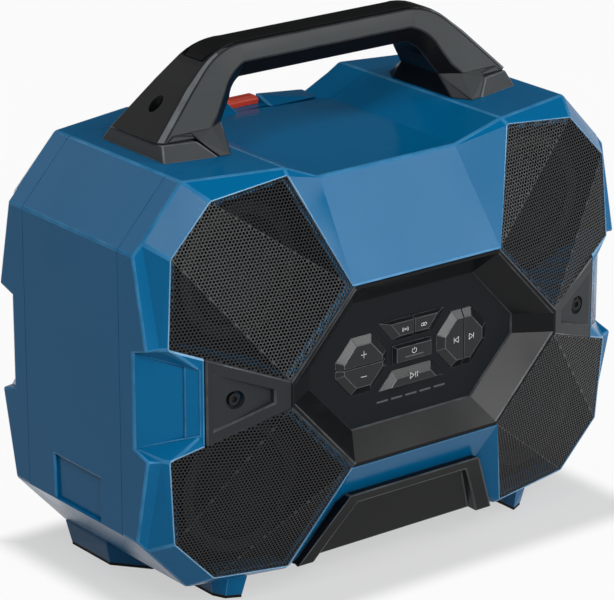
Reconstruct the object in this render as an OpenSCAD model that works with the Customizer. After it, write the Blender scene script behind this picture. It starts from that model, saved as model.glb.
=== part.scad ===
// Wireless jobsite speaker with a carrying handle, four drivers, a key panel
// and a slide-in battery pack. The front faces -Y, and the feet stand on Z = 0.

/* [Body] */
// Width across the two side faces
body_w = 372; // [352:1:400]
// Height from the underside to the raised top
body_h = 261; // [251:1:285]
// Depth from the key panel's rim to the back face
body_d = 202; // [194:1:222]
// Width of the sloped corner between top and side
corner_w = 36; // [30:1:42]
// Height of the sloped corner between top and side
corner_h = 39; // [33:1:44]
// Width of the sunken floor in the middle of the top
valley_w = 108; // [104:1:112]
// Width of each slope beside the sunken floor
valley_run = 31; // [27:1:34]
// Depth of the sunken floor below the raised top
valley_drop = 13; // [9:0.5:15]
// Wall of the moulded shells
wall = 3; // [2.4:0.1:3.6]
// Depth from the front face to the seam behind the front shell
seam_d = 64; // [62:1:70]
// Open width of a seam between two shells
seam_gap = 0.4; // [0.2:0.1:1.4]
// Height of the corner guards' ends above and below the middle
guard_end = 34.6; // [33:0.2:38]
// Depth of the guards' rims behind the front face
rim_set = 28; // [26:0.5:30]

/* [Front panel] */
// Width of the key panel at its side corners
panel_w = 209; // [205:1:215]
// Width of the key panel's top and bottom edges
panel_top_w = 114.4; // [108:0.4:120]
// Height of the key panel
panel_h = 115; // [111:1:121]
// Height of the key panel's short side edges
panel_side_h = 13.4; // [10:0.2:16]
// Depth of the key face behind the panel's rim
recess_d = 16; // [13:0.5:18]
// Width of the key face at its side corners
face_w = 160.4; // [156:0.4:166]
// Width of the key face's top and bottom edges
face_top_w = 94.8; // [92:0.4:100]
// Height of the key face
face_h = 82; // [78:1:86]
// Height of the key face's short side edges
face_side_h = 12.6; // [10:0.2:16]
// Depth of the panel frame from rim to back
frame_d = 28; // [27:0.5:31]
// Thickness of a cheek beside the panel
cheek_t = 7; // [6:0.5:8]
// Reach of a cheek beyond the panel's side corner
cheek_run = 49.3; // [46:0.5:52]

/* [Grilles and drivers] */
// Sheet thickness of a grille
grille_t = 1; // [0.8:0.1:1.4]
// Depth of a grille's face below its rim
grille_set = 1.2; // [0.8:0.1:1.8]
// Width of the ledge that carries a grille
ledge = 3; // [2.4:0.2:3.6]
// Outer diameter of a driver's flange
driver_od = 86; // [80:1:88]
// Outer diameter of a driver's cone
cone_od = 54; // [50:1:56]
// Outer diameter of a driver's magnet
magnet_od = 60; // [52:1:64]
// Thickness of a driver's magnet
magnet_t = 16; // [12:1:20]
// Depth of a driver's flange behind the front face
driver_set = 41; // [40:0.5:44]
// Depth of a driver's basket behind its flange
basket_d = 25; // [22:1:30]
// Travel of a cone each way
cone_travel = 1.5; // [0.5:0.1:2]

/* [Keys] */
// Height of a key above the key face
key_raise = 3; // [2:0.2:4]
// Width of a key's sloped edge
key_slope = 5; // [3:0.5:5.5]
// Width of the narrow slopes on the middle keys
key_edge = 1.5; // [1:0.1:2]
// Travel of a key
key_travel = 1.2; // [0.6:0.1:1.4]
// Gap round a key
key_gap = 0.35; // [0.25:0.05:0.5]
// Sideways place of the two eight-sided key pairs
pair_x = 40; // [39:0.2:41]
// Width of an eight-sided key pair
pair_w = 40.6; // [38:0.2:41]
// Height of an eight-sided key pair
pair_h = 38; // [34:1:40]

/* [Handle] */
// Height of the handle's crown above the raised top
handle_h = 58.5; // [56:0.5:68]
// Width of the handle across its feet
handle_w = 277; // [267:1:283]
// Thickness of the grip and the legs
grip_h = 22; // [20:0.5:24]
// Depth of the grip from front to back
grip_d = 32; // [28:1:36]
// Lean of the legs from upright, in degrees
leg_lean = 46; // [43:1:48]
// Radius of the bends, at the middle of the bar
bend_r = 32; // [26:1:38]
// Width of the soft insert in the grip
insert_w = 17; // [14:1:20]

/* [Battery] */
// Width of the battery pack
pack_w = 76; // [70:1:78]
// Length of the battery pack
pack_l = 112; // [104:1:116]
// Height of the battery pack
pack_h = 50; // [46:1:54]
// Running clearance round the battery pack
pack_gap = 0.8; // [0.6:0.1:1]
// Wall of the battery bay
bay_wall = 2.5; // [2:0.1:3]
// Width of the release button
release_w = 24; // [20:1:26]
// Travel of the release button
release_travel = 3; // [2:0.5:4]

/* [Feet] */
// Height of the underside above the ground
foot_h = 15.5; // [12:0.5:20]
// Thickness of the soft pad under a foot
pad_t = 2; // [1:0.2:3]

/* [Fasteners] */
// Diameter of the long screws that hold the shells together
tie_d = 4; // [3:0.5:4.5]
// Diameter of a long screw's head
tie_head_d = 8; // [7:0.5:9]
// Diameter of the access holes in the cheeks
access_d = 12; // [10:0.5:13]
// Clearance between a screw and its hole
screw_gap = 0.15; // [0.1:0.05:0.3]

/* [Hidden] */
$fn = 48;
hole_fn = 24;
half_w = body_w / 2;
half_h = body_h / 2;
half_d = body_d / 2;
mid_z = foot_h + half_h;
valley_hw = valley_w / 2;
valley_out = valley_hw + valley_run;
fit_gap = 0.3;
cut = 1;
seam_f = seam_d - seam_gap / 2;
seam_b = seam_d + seam_gap / 2;

// Colours as the object shows them
blue = "#0b5a92";
black = "#2b2d2f";
gray = "#55585a";
dark = "#141516";
steel = "#9a9da0";
red = "#dd4630";
green = "#1f5a3a";

// Place along Y of a depth measured from the front face, and its mirror
// image measured from the back face
function fy(d) = d - half_d;
function ry(d) = half_d + rim_set - d;
function at(p, front) = front ? [p[0], fy(p[1]), p[2]] : [p[0], ry(max(p[1], rim_set)), p[2]];

// Points of the upper right corner guard: width, depth and height from the middle
edge_set = rim_set + 20.7;
rim_a = [valley_out + 1.7, rim_set, half_h - 4];
rim_b = [half_w - corner_w - 9, rim_set + 2.5, half_h - 10];
rim_c = [half_w - 16, rim_set + 2.5, half_h - corner_h - 1];
rim_d = [half_w - 12.3, rim_set + 0.8, guard_end + 1.2];
rim_f = [panel_w / 2 + 0.8, 0, panel_side_h / 2 + 2.3];
rim_g = [panel_top_w / 2 + 1, 0, panel_h / 2 + 1];
out_share = 0.82;
out_a = [valley_out, rim_set + 5.4, half_h];
out_b = [half_w - corner_w, edge_set, half_h];
out_c = [half_w - corner_w * (1 - out_share), edge_set, half_h - corner_h * out_share];
out_d = [half_w - 8.5, rim_set + 5.3, guard_end + 0.6];
side_t = [half_w, edge_set, half_h - corner_h];
side_b = [half_w, rim_set + 8.2, guard_end];
valley_p = [valley_hw, rim_set + 12.7, half_h - valley_drop];
waist_k = [panel_w / 2 + cheek_run + 1.7, 21.5, guard_end - 7.6];
waist_s = [half_w, edge_set + 1.3, guard_end - 4.1];

// Line on the waist where the sloped lip below a guard ends
lip_sunk = 0.3;
lip_end = 0.05;
lip_k = concat(on_waist(lip_end, lip_sunk), guard_end - 13.9);
lip_s = concat(on_waist(1 - lip_end, lip_sunk), guard_end - 3.8);
rim = [rim_a, rim_b, rim_c, rim_d, rim_f, rim_g];
facets = [[rim_a, rim_b, rim_g], [rim_b, rim_c, rim_f, rim_g], [rim_c, rim_d, rim_f]];

// Outline of the body seen from the front, right half and then left half
half_section = [
  [valley_hw, half_h - valley_drop],
  [valley_out, half_h],
  [half_w - corner_w, half_h],
  [half_w, half_h - corner_h]
];
function flip_x(p) = [-p[0], p[1]];
function flip_z(p) = [p[0], -p[1]];
function backward(list) = [for (i = [len(list) - 1:-1:0]) list[i]];
function four(list) = concat(
  list,
  backward([for (p = list) flip_z(p)]),
  [for (p = list) [-p[0], -p[1]]],
  backward([for (p = list) flip_x(p)])
);
section = four(half_section);

// Moves each corner of a clockwise outline inwards by a distance
function unit(v) = v / norm(v);
function inward(a, b) = let (u = unit(b - a)) [u[1], -u[0]];
function inset(list, d) = [
  for (i = [0:len(list) - 1])
    let (
      n = len(list),
      p = list[i],
      m = inward(list[(i + n - 1) % n], p),
      k = inward(p, list[(i + 1) % n])
    )
    p + d * (m + k) / (1 + m * k)
];

// The same with a distance for each edge, the first edge starting at the first corner
function inset_each(list, ds) = [
  for (i = [0:len(list) - 1])
    let (
      n = len(list),
      before = (i + n - 1) % n,
      p = list[i],
      m = inward(list[before], p),
      k = inward(p, list[(i + 1) % n]),
      turn = m * k
    )
    p + ((ds[before] - ds[i] * turn) * m + (ds[i] - ds[before] * turn) * k) / (1 - turn * turn)
];
function flat(list) = [for (p = list) [p[0], p[2]]];
function mix(a, b, t) = a + (b - a) * t;

panel_out = four([[panel_top_w / 2, panel_h / 2], [panel_w / 2, panel_side_h / 2]]);
panel_in = four([[face_top_w / 2, face_h / 2], [face_w / 2, face_side_h / 2]]);

// Rim of the panel frame, which covers the shell's edge as far as the grilles
panel_lip_t = 1.4;
panel_lip = inset(four(flat([rim_g, rim_f])), fit_gap);

// Driver places, below the widest part of each grille
driver_x = (rim_c[0] + rim_g[0]) / 2;
driver_z = (rim_b[2] + rim_c[2] + rim_f[2] + rim_g[2]) / 4;
driver_spot = [driver_x, driver_z];
flange_t = 3;
baffle_f = driver_set + flange_t;
baffle_b = baffle_f + wall;
basket_gap = 0.5;
baffle_relief = 2;
cavity_d = waist_s[1] + wall;

// Pocket and depths behind the key face
pocket_w = 3;
plate_t = 2.5;
key_lip = 1.2;
stem_l = 1.4;
stem_r = 1.5;
flange_f = recess_d + plate_t + fit_gap;
flange_b = flange_f + key_lip;
stem_b = flange_b + stem_l;
switch_f = stem_b + key_travel + 0.2;
board_t = 1.6;
pin_out = 0.7;
board_b = frame_d - pin_out;
board_f = board_b - board_t;

// Battery and bay places
bay_top = half_h - valley_drop - wall;
pack_top = bay_top - bay_wall - pack_gap;
pack_back = half_d - 2;
pack_front = pack_back - pack_l;
bay_in_w = pack_w + 2 * pack_gap;
bay_out_w = bay_in_w + 2 * bay_wall;
bay_low = pack_top - pack_h - pack_gap - bay_wall;
terminal_t = 6;
bay_front = pack_front - terminal_t - bay_wall - pack_gap;
bay_back = half_d - 3;
release_l = 11;
release_proud = 4.6;
release_back = pack_back - 1;
release_top = half_h - valley_drop + release_proud;
release_low = pack_top - 5;
notch_gap = 0.8;
notch_w = release_w + 2 * notch_gap;
notch_front = release_back - release_l - notch_gap;
rail_z = pack_top - pack_h / 2;
rail_h = 4;
rail_w = 2.5;
rail_end = 8;

// Handle places, measured from its own middle
handle_y = rim_set / 2;
foot_w = 35;
foot_seam = 9.5;
foot_hd = 33;
leg_hd = 27;
gap_line = 0.8;

// Tie screw places
tie_corner = [half_w - 26, half_h - corner_h + 8.6];
tie_side = [half_w - 10, 0];
tie_tip = edge_set + 0.6;
boss_r = 6;
tie_head_t = 3;
tie_seat = 14;
socket_d = 4;
socket_depth = 1.6;
tie_spots = concat(
  [for (sx = [-1, 1], sz = [-1, 1]) [sx * tie_corner[0], sz * tie_corner[1]]],
  [for (sx = [-1, 1]) [sx * tie_side[0], tie_side[1]]]
);

// Shared shapes
module raised() {
  translate([0, 0, mid_z]) children();
}

module solid(points) {
  hull() polyhedron(points = points, faces = [[for (i = [0:1:len(points) - 1]) i]]);
}

// A flat outline pushed along Y between two places
module slab(outline, y0, y1) {
  translate([0, y1, 0]) rotate([90, 0, 0]) linear_extrude(y1 - y0) polygon(outline);
}

// A round bar along Y between two places
module bar(spot, r, y0, y1) {
  translate([spot[0], y1, spot[1]]) rotate([90, 0, 0]) cylinder(r = r, h = y1 - y0);
}

// Hexagonal socket in a screw head whose top faces the back
module hex_socket(spot, top_y) {
  translate([spot[0], top_y + cut, spot[1]]) rotate([90, 0, 0])
    cylinder(d = socket_d, h = cut + socket_depth, $fn = 6);
}

module box(low, high) {
  translate(low) cube(high - low);
}

module mirrored_x() {
  children();
  mirror([1, 0, 0]) children();
}

module quadrants() {
  mirrored_x() {
    children();
    mirror([0, 0, 1]) children();
  }
}

// Places a shape of the upper right quadrant in another quadrant
module quadrant(sx, sz) {
  mirror([sx < 0 ? 1 : 0, 0, 0]) mirror([0, 0, sz < 0 ? 1 : 0]) children();
}

// Faceted end of the body: four guards, their shoulders and the block between them
module end_form(front) {
  seam = seam_f;
  guard = concat(rim, [out_a, out_b, out_c, out_d, valley_p, lip_k, lip_s]);
  guard_back = [valley_p, out_a, out_b, out_c, out_d, rim_f, rim_g];
  shoulder = [out_b, out_c, out_d, side_t, side_b];
  shoulder_back = [out_b, side_t, waist_s, rim_g];
  middle = [rim_f, rim_g, waist_k, waist_s, valley_p];
  middle_back = [waist_s, valley_p];
  quadrants() {
    solid([for (p = concat(guard, [for (q = guard_back) [q[0], seam, q[2]]])) at(p, front)]);
    solid([for (p = concat(shoulder, [for (q = shoulder_back) [q[0], waist_s[1], q[2]]])) at(p, front)]);
  }
  hull() quadrants() {
    solid([for (p = concat(middle, [for (q = middle_back) [q[0], seam, q[2]]])) at(p, front)]);
  }
  y0 = front ? fy(waist_s[1]) : ry(seam);
  y1 = front ? fy(seam) : ry(waist_s[1]);
  slab(section, y0, y1);
}

// A folded sheet on the three facets of the upper right guard, between two depths
module folded_sheet(d0, d1, shrink) {
  centre = [driver_x, (rim_b[1] + rim_f[1]) / 2, driver_z];
  for (facet = facets) {
    corners = [for (p = facet) centre + (p - centre) * (1 - shrink / (driver_od / 2))];
    solid([for (p = corners, d = [d0, d1]) [p[0], fy(p[1] + d), p[2]]]);
  }
}

// Corners of a wedge cut into the sloped waist between two shares of its run
waist_edge = 0.8;
function on_waist(t, n) =
  let (run = [waist_s[0] - waist_k[0], waist_s[1] - waist_k[1]], side = unit([run[1], -run[0]]))
  [waist_k[0], waist_k[1]] + t * run - n * side;
function waist_wedge(t0, n0, t1, n1) = [
  for (sz = [-1, 1], e = [[t0, n0], [t1, n1]], n = [-cut, e[1]])
    let (p = on_waist(e[0], n))
    [p[0], fy(p[1]), sz * (mix(lip_k[2], lip_s[2], e[0]) - waist_edge)]
];

module front_shell() {
  back = fy(seam_f);
  grille_b = grille_set + grille_t;
  panel_seat = 4;
  panel_window = 6;
  color(blue) raised() difference() {
    end_form(true);
    quadrants() {
      folded_sheet(-rim_set, grille_b + fit_gap, 0);
      slab(inset(flat(rim), ledge), fy(-cut), fy(baffle_f));
      bar(driver_spot, driver_od / 2 + fit_gap, fy(driver_set - small_head_t - fit_gap), fy(baffle_f));
      bar(driver_spot, basket_r + basket_gap, fy(driver_set), back + cut);
      bar(driver_spot, driver_od / 2 + baffle_relief, fy(baffle_b), back + cut);
      for (s = driver_screw_spots()) {
        bar(s, driver_screw_r + screw_gap, fy(baffle_f) - cut, fy(baffle_b) + cut, $fn = hole_fn);
      }
    }
    for (up = [0, 1]) {
      mirror([0, 0, up]) solid(brow_hollow());
    }
    slab(inset(panel_lip, -2 * fit_gap), fy(-cut), fy(panel_lip_t + fit_gap));
    slab(inset(panel_out, -fit_gap), fy(-cut), fy(frame_d));
    slab(inset(panel_in, panel_seat), fy(frame_d) - cut, fy(frame_d + wall));
    slab(inset(panel_out, panel_window), fy(frame_d + wall), back + cut);
    mirrored_x() {
      solid(waist_wedge(0.06, 1, 0.4, 0.9));
      solid(waist_wedge(0.28, 2.6, 0.96, 0.05));
      solid(cheek_points(fit_gap, edge_set, cheek_t + fit_gap));
      bar([cheek_screw_x, 0], tie_d / 2, fy(0), fy(cheek_screw_tip), $fn = hole_fn);
    }
    difference() {
      slab(inset(section, wall), fy(cavity_d), back + cut);
      for (spot = tie_spots) {
        bar(spot, boss_r, fy(cavity_d) - cut, back);
      }
    }
    for (spot = tie_spots) {
      bar(spot, tie_d / 2 + screw_gap, fy(tie_tip), back + cut, $fn = hole_fn);
    }
  }
}

// Corners of the hollow behind the sloped face above the key panel
function brow_hollow() =
  let (
    low_z = panel_h / 2 + 2 * wall,
    top_z = half_h - valley_drop - 3 * wall,
    rise = valley_p[1] / (valley_p[2] - rim_g[2]),
    half_low = panel_top_w / 2 - 3 * wall,
    half_top = valley_hw - 2 * wall
  )
  [
    for (sx = [-1, 1], d = [0, seam_d])
      each [
        [sx * half_low, fy(max(d, rise * (low_z - rim_g[2]) + 2 * wall)), low_z],
        [sx * half_top, fy(max(d, rise * (top_z - rim_g[2]) + 2 * wall)), top_z]
      ]
  ];

// Corners of a cheek plate: grown sideways, reaching forward and down to a depth
cheek_in = 2;
cheek_fall = 20;
cheek_slope = cheek_fall / (cheek_run + cheek_in);
cheek_edge = 0.1;
function rim_line(x) = mix(rim_f[2], rim_d[2], (x - rim_f[0]) / (rim_d[0] - rim_f[0]));
cheek_low = rim_line(panel_w / 2 - cheek_in) - cheek_edge;
cheek_high = rim_line(panel_w / 2 + cheek_run) - cheek_edge;
function cheek_points(grow, fore, deep) =
  let (over = 3 * grow, share = 1 + over / (cheek_run + cheek_in))
  [
    for (sz = [-1, 1], d = [-fore, deep])
      each [
        [panel_w / 2 - cheek_in, fy(d), sz * (cheek_low + grow)],
        [
          panel_w / 2 + cheek_run + over,
          fy(d + cheek_fall * share),
          sz * (mix(cheek_low, cheek_high, share) + grow)
        ]
      ]
  ];
function cheek_d(x) = cheek_slope * (x - panel_w / 2 + cheek_in);
cheek_screw_set = 32;
cheek_screw_x = panel_w / 2 + cheek_screw_set;
cheek_seat_t = 2;
cheek_screw_d = cheek_d(cheek_screw_x) + cheek_t - cheek_seat_t;
cheek_head_t = 2.6;
cheek_bite = 16;
cheek_screw_tip = cheek_screw_d + cheek_bite;

// Corners of the wedge cut into a cheek: flush at its outer end, deep at its inner end
relief_d = 4.5;
relief_low = 4;
relief_high = 18;
function cheek_relief() =
  let (inner = panel_w / 2 + 10, outer = panel_w / 2 + cheek_run - 4)
  [
    for (sz = [-1, 1], e = [[inner, relief_low, relief_d], [outer, relief_high, 0.05]], d = [-cut, e[2]])
      [e[0], fy(cheek_d(e[0]) + d), sz * e[1]]
  ];

module panel_frame() {
  rim_w = 1.2;
  face_lip = 0.8;
  color(black) raised() difference() {
    union() {
      slab(panel_out, fy(0), fy(frame_d));
      slab(panel_lip, fy(0), fy(panel_lip_t));
      mirrored_x() {
        solid(cheek_points(0, 0, cheek_t));
      }
    }
    solid(concat(
      [for (p = inset(panel_out, rim_w)) [p[0], fy(0) - 0.01, p[1]]],
      [for (p = panel_in) [p[0], fy(recess_d - face_lip), p[1]]]
    ));
    slab(panel_in, fy(recess_d - face_lip) - cut, fy(recess_d) + cut);
    slab(inset(panel_in, -pocket_w), fy(recess_d), fy(frame_d) + cut);
    mirrored_x() {
      solid(cheek_relief());
      bar([cheek_screw_x, 0], access_d / 2, fy(-cut), fy(cheek_screw_d));
      bar([cheek_screw_x, 0], tie_d / 2 + screw_gap, fy(-cut), fy(cheek_screw_tip));
    }
  }
}

module cheek_screws() {
  color(steel) raised() mirrored_x() difference() {
    union() {
      bar([cheek_screw_x, 0], tie_head_d / 2, fy(cheek_screw_d - cheek_head_t), fy(cheek_screw_d));
      bar([cheek_screw_x, 0], tie_d / 2 - screw_gap, fy(cheek_screw_d) - cut, fy(cheek_screw_tip));
    }
    mirror([0, 1, 0]) hex_socket([cheek_screw_x, 0], -fy(cheek_screw_d - cheek_head_t));
  }
}

// Key outlines, clockwise
function octagon(x) = [
  for (p = four([[8, pair_h / 2], [pair_w / 2, 5.5]])) p + [x, 0]
];
function trapezoid(half_top, half_low, top, low) = [
  [half_top, top], [half_low, low], [-half_low, low], [-half_top, top]
];
middle_w = 31;
row_top = 23.5;
row_low = 9.6;
wing = 11.5;
tune_outline = trapezoid(middle_w / 2 + wing, middle_w / 2, row_top, row_low);
power_outline = trapezoid(middle_w / 2, middle_w / 2, row_low - 3.1, -(row_low - 3.1));
play_outline = trapezoid(middle_w / 2, middle_w / 2 + wing, -row_low, -row_top + 1.5);
volume_outline = octagon(-pair_x);
skip_outline = octagon(pair_x);
key_outlines = [tune_outline, power_outline, play_outline, volume_outline, skip_outline];

// Slope along each edge of a key, in the order of its outline
pair_slopes = [for (p = volume_outline) key_slope];
tune_slopes = [key_slope, 2 * key_edge, key_slope, key_edge];
power_slopes = [for (p = power_outline) key_edge];
play_slopes = [key_slope, key_edge, key_slope, key_slope];

light_z = -28.5;
light_w = 9;
light_h = 1.2;
light_pitch = 11.4;
post_spots = concat(
  [for (sx = [-1, 1]) [sx * (face_w / 2 - 10.2), 0]],
  [for (sx = [-1, 1], sz = [-1, 1]) [sx * (face_top_w / 2 - 6.4), sz * (face_h / 2 - 11)]]
);
post_r = 3;
pin_r = 1.8;

// Outlines of the battery lights
function light_outline(i, grow) = [
  [-light_w / 2 - grow + i * light_pitch, light_z + light_h / 2 + grow],
  [light_w / 2 + grow + i * light_pitch, light_z + light_h / 2 + grow],
  [light_w / 2 + grow + i * light_pitch, light_z - light_h / 2 - grow],
  [-light_w / 2 - grow + i * light_pitch, light_z - light_h / 2 - grow]
];

module key_plate() {
  color(black) raised() difference() {
    union() {
      slab(inset(panel_in, fit_gap - pocket_w), fy(recess_d), fy(recess_d + plate_t));
      for (spot = post_spots) {
        bar(spot, post_r, fy(recess_d + plate_t) - 0.01, fy(board_f));
        bar(spot, pin_r, fy(board_f) - 0.01, fy(frame_d));
      }
    }
    for (outline = key_outlines) {
      slab(outline, fy(recess_d) - cut, fy(recess_d + plate_t) + cut);
    }
    for (i = [-2:2]) {
      slab(light_outline(i, 0), fy(recess_d) - cut, fy(recess_d + plate_t) + cut);
    }
  }
}

module control_board() {
  color(green) raised() difference() {
    slab(inset(panel_in, -pocket_w / 3), fy(board_f), fy(board_b));
    for (spot = post_spots) {
      bar(spot, pin_r + screw_gap, fy(board_f) - cut, fy(board_b) + cut);
    }
  }
}

// Middles of the keys, where their stems meet the switches
split = 0.35;
key_spots = [
  [-pair_x, pair_h / 4 - 0.5], [-pair_x, -pair_h / 4 + 0.5],
  [-middle_w / 4, (row_top + row_low) / 2], [middle_w / 4, (row_top + row_low) / 2],
  [0, 0], [0, -(row_top + row_low) / 2],
  [pair_x - pair_w / 4, 0], [pair_x + pair_w / 4, 0]
];

module key_switches() {
  size = 5;
  color(dark) raised() for (spot = key_spots) {
    translate([spot[0] - size / 2, fy(switch_f), spot[1] - size / 2])
      cube([size, board_f - switch_f, size]);
  }
}

module battery_lights() {
  color("#d8e0e4") raised() for (i = [-2:2]) {
    slab(light_outline(i, -0.1), fy(recess_d - 0.1), fy(board_f));
  }
}

// One key cut from an outline by a box that runs from low to high
module key(outline, slopes, spot, low, high) {
  body = inset(outline, key_gap);
  top = inset_each(outline, [for (slope = slopes) key_gap + slope]);
  color(black) raised() {
    intersection() {
      union() {
        solid(concat(
          [for (p = body) [p[0], fy(recess_d), p[1]]],
          [for (p = top) [p[0], fy(recess_d - key_raise), p[1]]]
        ));
        slab(body, fy(recess_d) - 0.01, fy(flange_f) + 0.01);
        slab(inset(outline, -key_lip), fy(flange_f), fy(flange_b));
      }
      box([low[0], fy(0), low[1]], [high[0], fy(frame_d), high[1]]);
    }
    bar(spot, stem_r, fy(flange_b) - 0.01, fy(stem_b));
  }
}

module volume_up_key() {
  key(volume_outline, pair_slopes, key_spots[0], [-face_w, split], [face_w, face_h]);
}

module volume_down_key() {
  key(volume_outline, pair_slopes, key_spots[1], [-face_w, -face_h], [face_w, -split]);
}

module wireless_key() {
  key(tune_outline, tune_slopes, key_spots[2], [-face_w, -face_h], [-split, face_h]);
}

module link_key() {
  key(tune_outline, tune_slopes, key_spots[3], [split, -face_h], [face_w, face_h]);
}

module power_key() {
  key(power_outline, power_slopes, key_spots[4], [-face_w, -face_h], [face_w, face_h]);
}

module play_key() {
  key(play_outline, play_slopes, key_spots[5], [-face_w, -face_h], [face_w, face_h]);
}

module previous_key() {
  key(skip_outline, pair_slopes, key_spots[6], [-face_w, -face_h], [pair_x - split, face_h]);
}

module next_key() {
  key(skip_outline, pair_slopes, key_spots[7], [pair_x + split, -face_h], [face_w, face_h]);
}

module grille(sx, sz) {
  color(gray) raised() quadrant(sx, sz) folded_sheet(grille_set, grille_set + grille_t, fit_gap);
}

// Drivers, each turned about its own axis
driver_screw_r = 1.4;
small_head_r = 2.6;
small_head_t = 1.6;
function driver_screw_spots() = [
  for (a = [45:90:315])
    driver_spot + (driver_od / 2 - small_head_r - fit_gap) * [cos(a), sin(a)]
];
flange_w = 6.2;
basket_r = driver_od / 2 - flange_w;
hub_r = magnet_od / 2;
basket_b = driver_set + flange_t + basket_d;
coil_r = 12;

// Turns an outline of radius and depth about the driver's axis
module driver_turn(sx, sz, outline) {
  raised() quadrant(sx, sz) translate([driver_x, fy(0), driver_z]) rotate([-90, 0, 0])
    rotate_extrude($fn = 64) polygon(outline);
}

module driver_frame(sx, sz) {
  skin = 2;
  color(dark) difference() {
    driver_turn(sx, sz, [
      [basket_r - skin, driver_set], [driver_od / 2, driver_set],
      [driver_od / 2, driver_set + flange_t], [basket_r, driver_set + flange_t],
      [hub_r - 2, basket_b], [coil_r + 2, basket_b],
      [coil_r + 2, basket_b - skin], [hub_r - 2 - skin, basket_b - skin],
      [basket_r - skin, driver_set + flange_t]
    ]);
    raised() quadrant(sx, sz) for (s = driver_screw_spots()) {
      bar(s, driver_screw_r + screw_gap, fy(driver_set) - cut, fy(baffle_f) + cut);
    }
  }
}

module magnet(sx, sz) {
  gap_r = coil_r + 1.2;
  color(steel) driver_turn(sx, sz, [
    [gap_r, basket_b], [hub_r, basket_b], [hub_r, basket_b + magnet_t],
    [0, basket_b + magnet_t], [0, basket_b], [coil_r - 2.2, basket_b],
    [coil_r - 2.2, basket_b + magnet_t - 5], [gap_r, basket_b + magnet_t - 5]
  ]);
}

module cone(sx, sz) {
  skin = 1;
  rim_d = driver_set + 1.6;
  neck_d = basket_b - 8;
  coil_b = basket_b + magnet_t - 5 - 2 * cone_travel - 1;
  color("#1d1e20") driver_turn(sx, sz, [
    [0, neck_d - 7], [coil_r * 0.6, neck_d - 6], [coil_r, neck_d - 3], [cone_od / 2, rim_d],
    [cone_od / 2, rim_d + skin], [coil_r, neck_d], [coil_r, coil_b], [coil_r - 1, coil_b],
    [coil_r - 1, neck_d - 2], [coil_r * 0.6, neck_d - 5], [0, neck_d - 6]
  ]);
}

// Half-round rubber roll between the cone and the frame
module surround(sx, sz) {
  inner = cone_od / 2 + fit_gap;
  outer = basket_r - 2 - fit_gap;
  middle = (inner + outer) / 2;
  roll = (outer - inner) / 2;
  base = driver_set + 2.6;
  skin = 0.8;
  steps = 8;
  color("#0f1011") driver_turn(sx, sz, concat(
    [for (i = [0:steps]) [middle - roll * cos(i * 180 / steps), base - roll * 0.6 * sin(i * 180 / steps)]],
    [for (i = [steps:-1:0])
      [middle - (roll - skin) * cos(i * 180 / steps), base - (roll - skin) * 0.6 * sin(i * 180 / steps)]]
  ));
}

module driver_screws() {
  color(steel) raised() quadrants() for (s = driver_screw_spots()) {
    bar(s, driver_screw_r, fy(driver_set) - 0.01, fy(baffle_b));
    bar(s, small_head_r, fy(driver_set - small_head_t), fy(driver_set));
  }
}

module main_housing() {
  y0 = fy(seam_b);
  y1 = ry(seam_b);
  rib_t = 3;
  pocket_l = 50;
  pocket_h = 29;
  pocket_d = 2.5;
  pocket_set = 28;
  pocket_y = handle_y - pocket_set;
  pocket_z = -(half_h - corner_h) + pocket_h + 0.5;
  color(blue) raised() difference() {
    union() {
      difference() {
        slab(section, y0, y1);
        slab(inset(section, wall), y0 - cut, y1 + cut);
      }
      intersection() {
        union() {
          for (spot = tie_spots) {
            bar(spot, boss_r, y0, y1);
            box([min(spot[0], sign(spot[0]) * half_w), y0, spot[1] - rib_t / 2],
              [max(spot[0], sign(spot[0]) * half_w), y1, spot[1] + rib_t / 2]);
          }
        }
        slab(inset(section, 0.01), y0, y1);
      }
      mirrored_x() {
        box(
          [half_w - wall - pocket_d, pocket_y - wall, pocket_z - pocket_h - wall],
          [half_w - wall + 0.01, pocket_y + pocket_l + wall, pocket_z + wall]
        );
      }
      for (spot = amp_spots) {
        translate([spot[0], spot[1], -amp_floor]) cylinder(r = 4, h = amp_post);
      }
    }
    for (spot = tie_spots) {
      bar(spot, tie_d / 2 + screw_gap, y0 - cut, y1 + cut);
    }
    mirrored_x() {
      box(
        [half_w - pocket_d, pocket_y, pocket_z - pocket_h],
        [half_w + cut, pocket_y + pocket_l, pocket_z]
      );
      translate([handle_bolt_x, handle_y, half_h - 4 * wall])
        cylinder(r = tie_d / 2 + screw_gap, h = 8 * wall);
    }
    for (spot = amp_spots) {
      translate([spot[0], spot[1], -amp_floor - wall / 6])
        cylinder(r = driver_screw_r + screw_gap, h = amp_post + wall);
    }
  }
}

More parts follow.
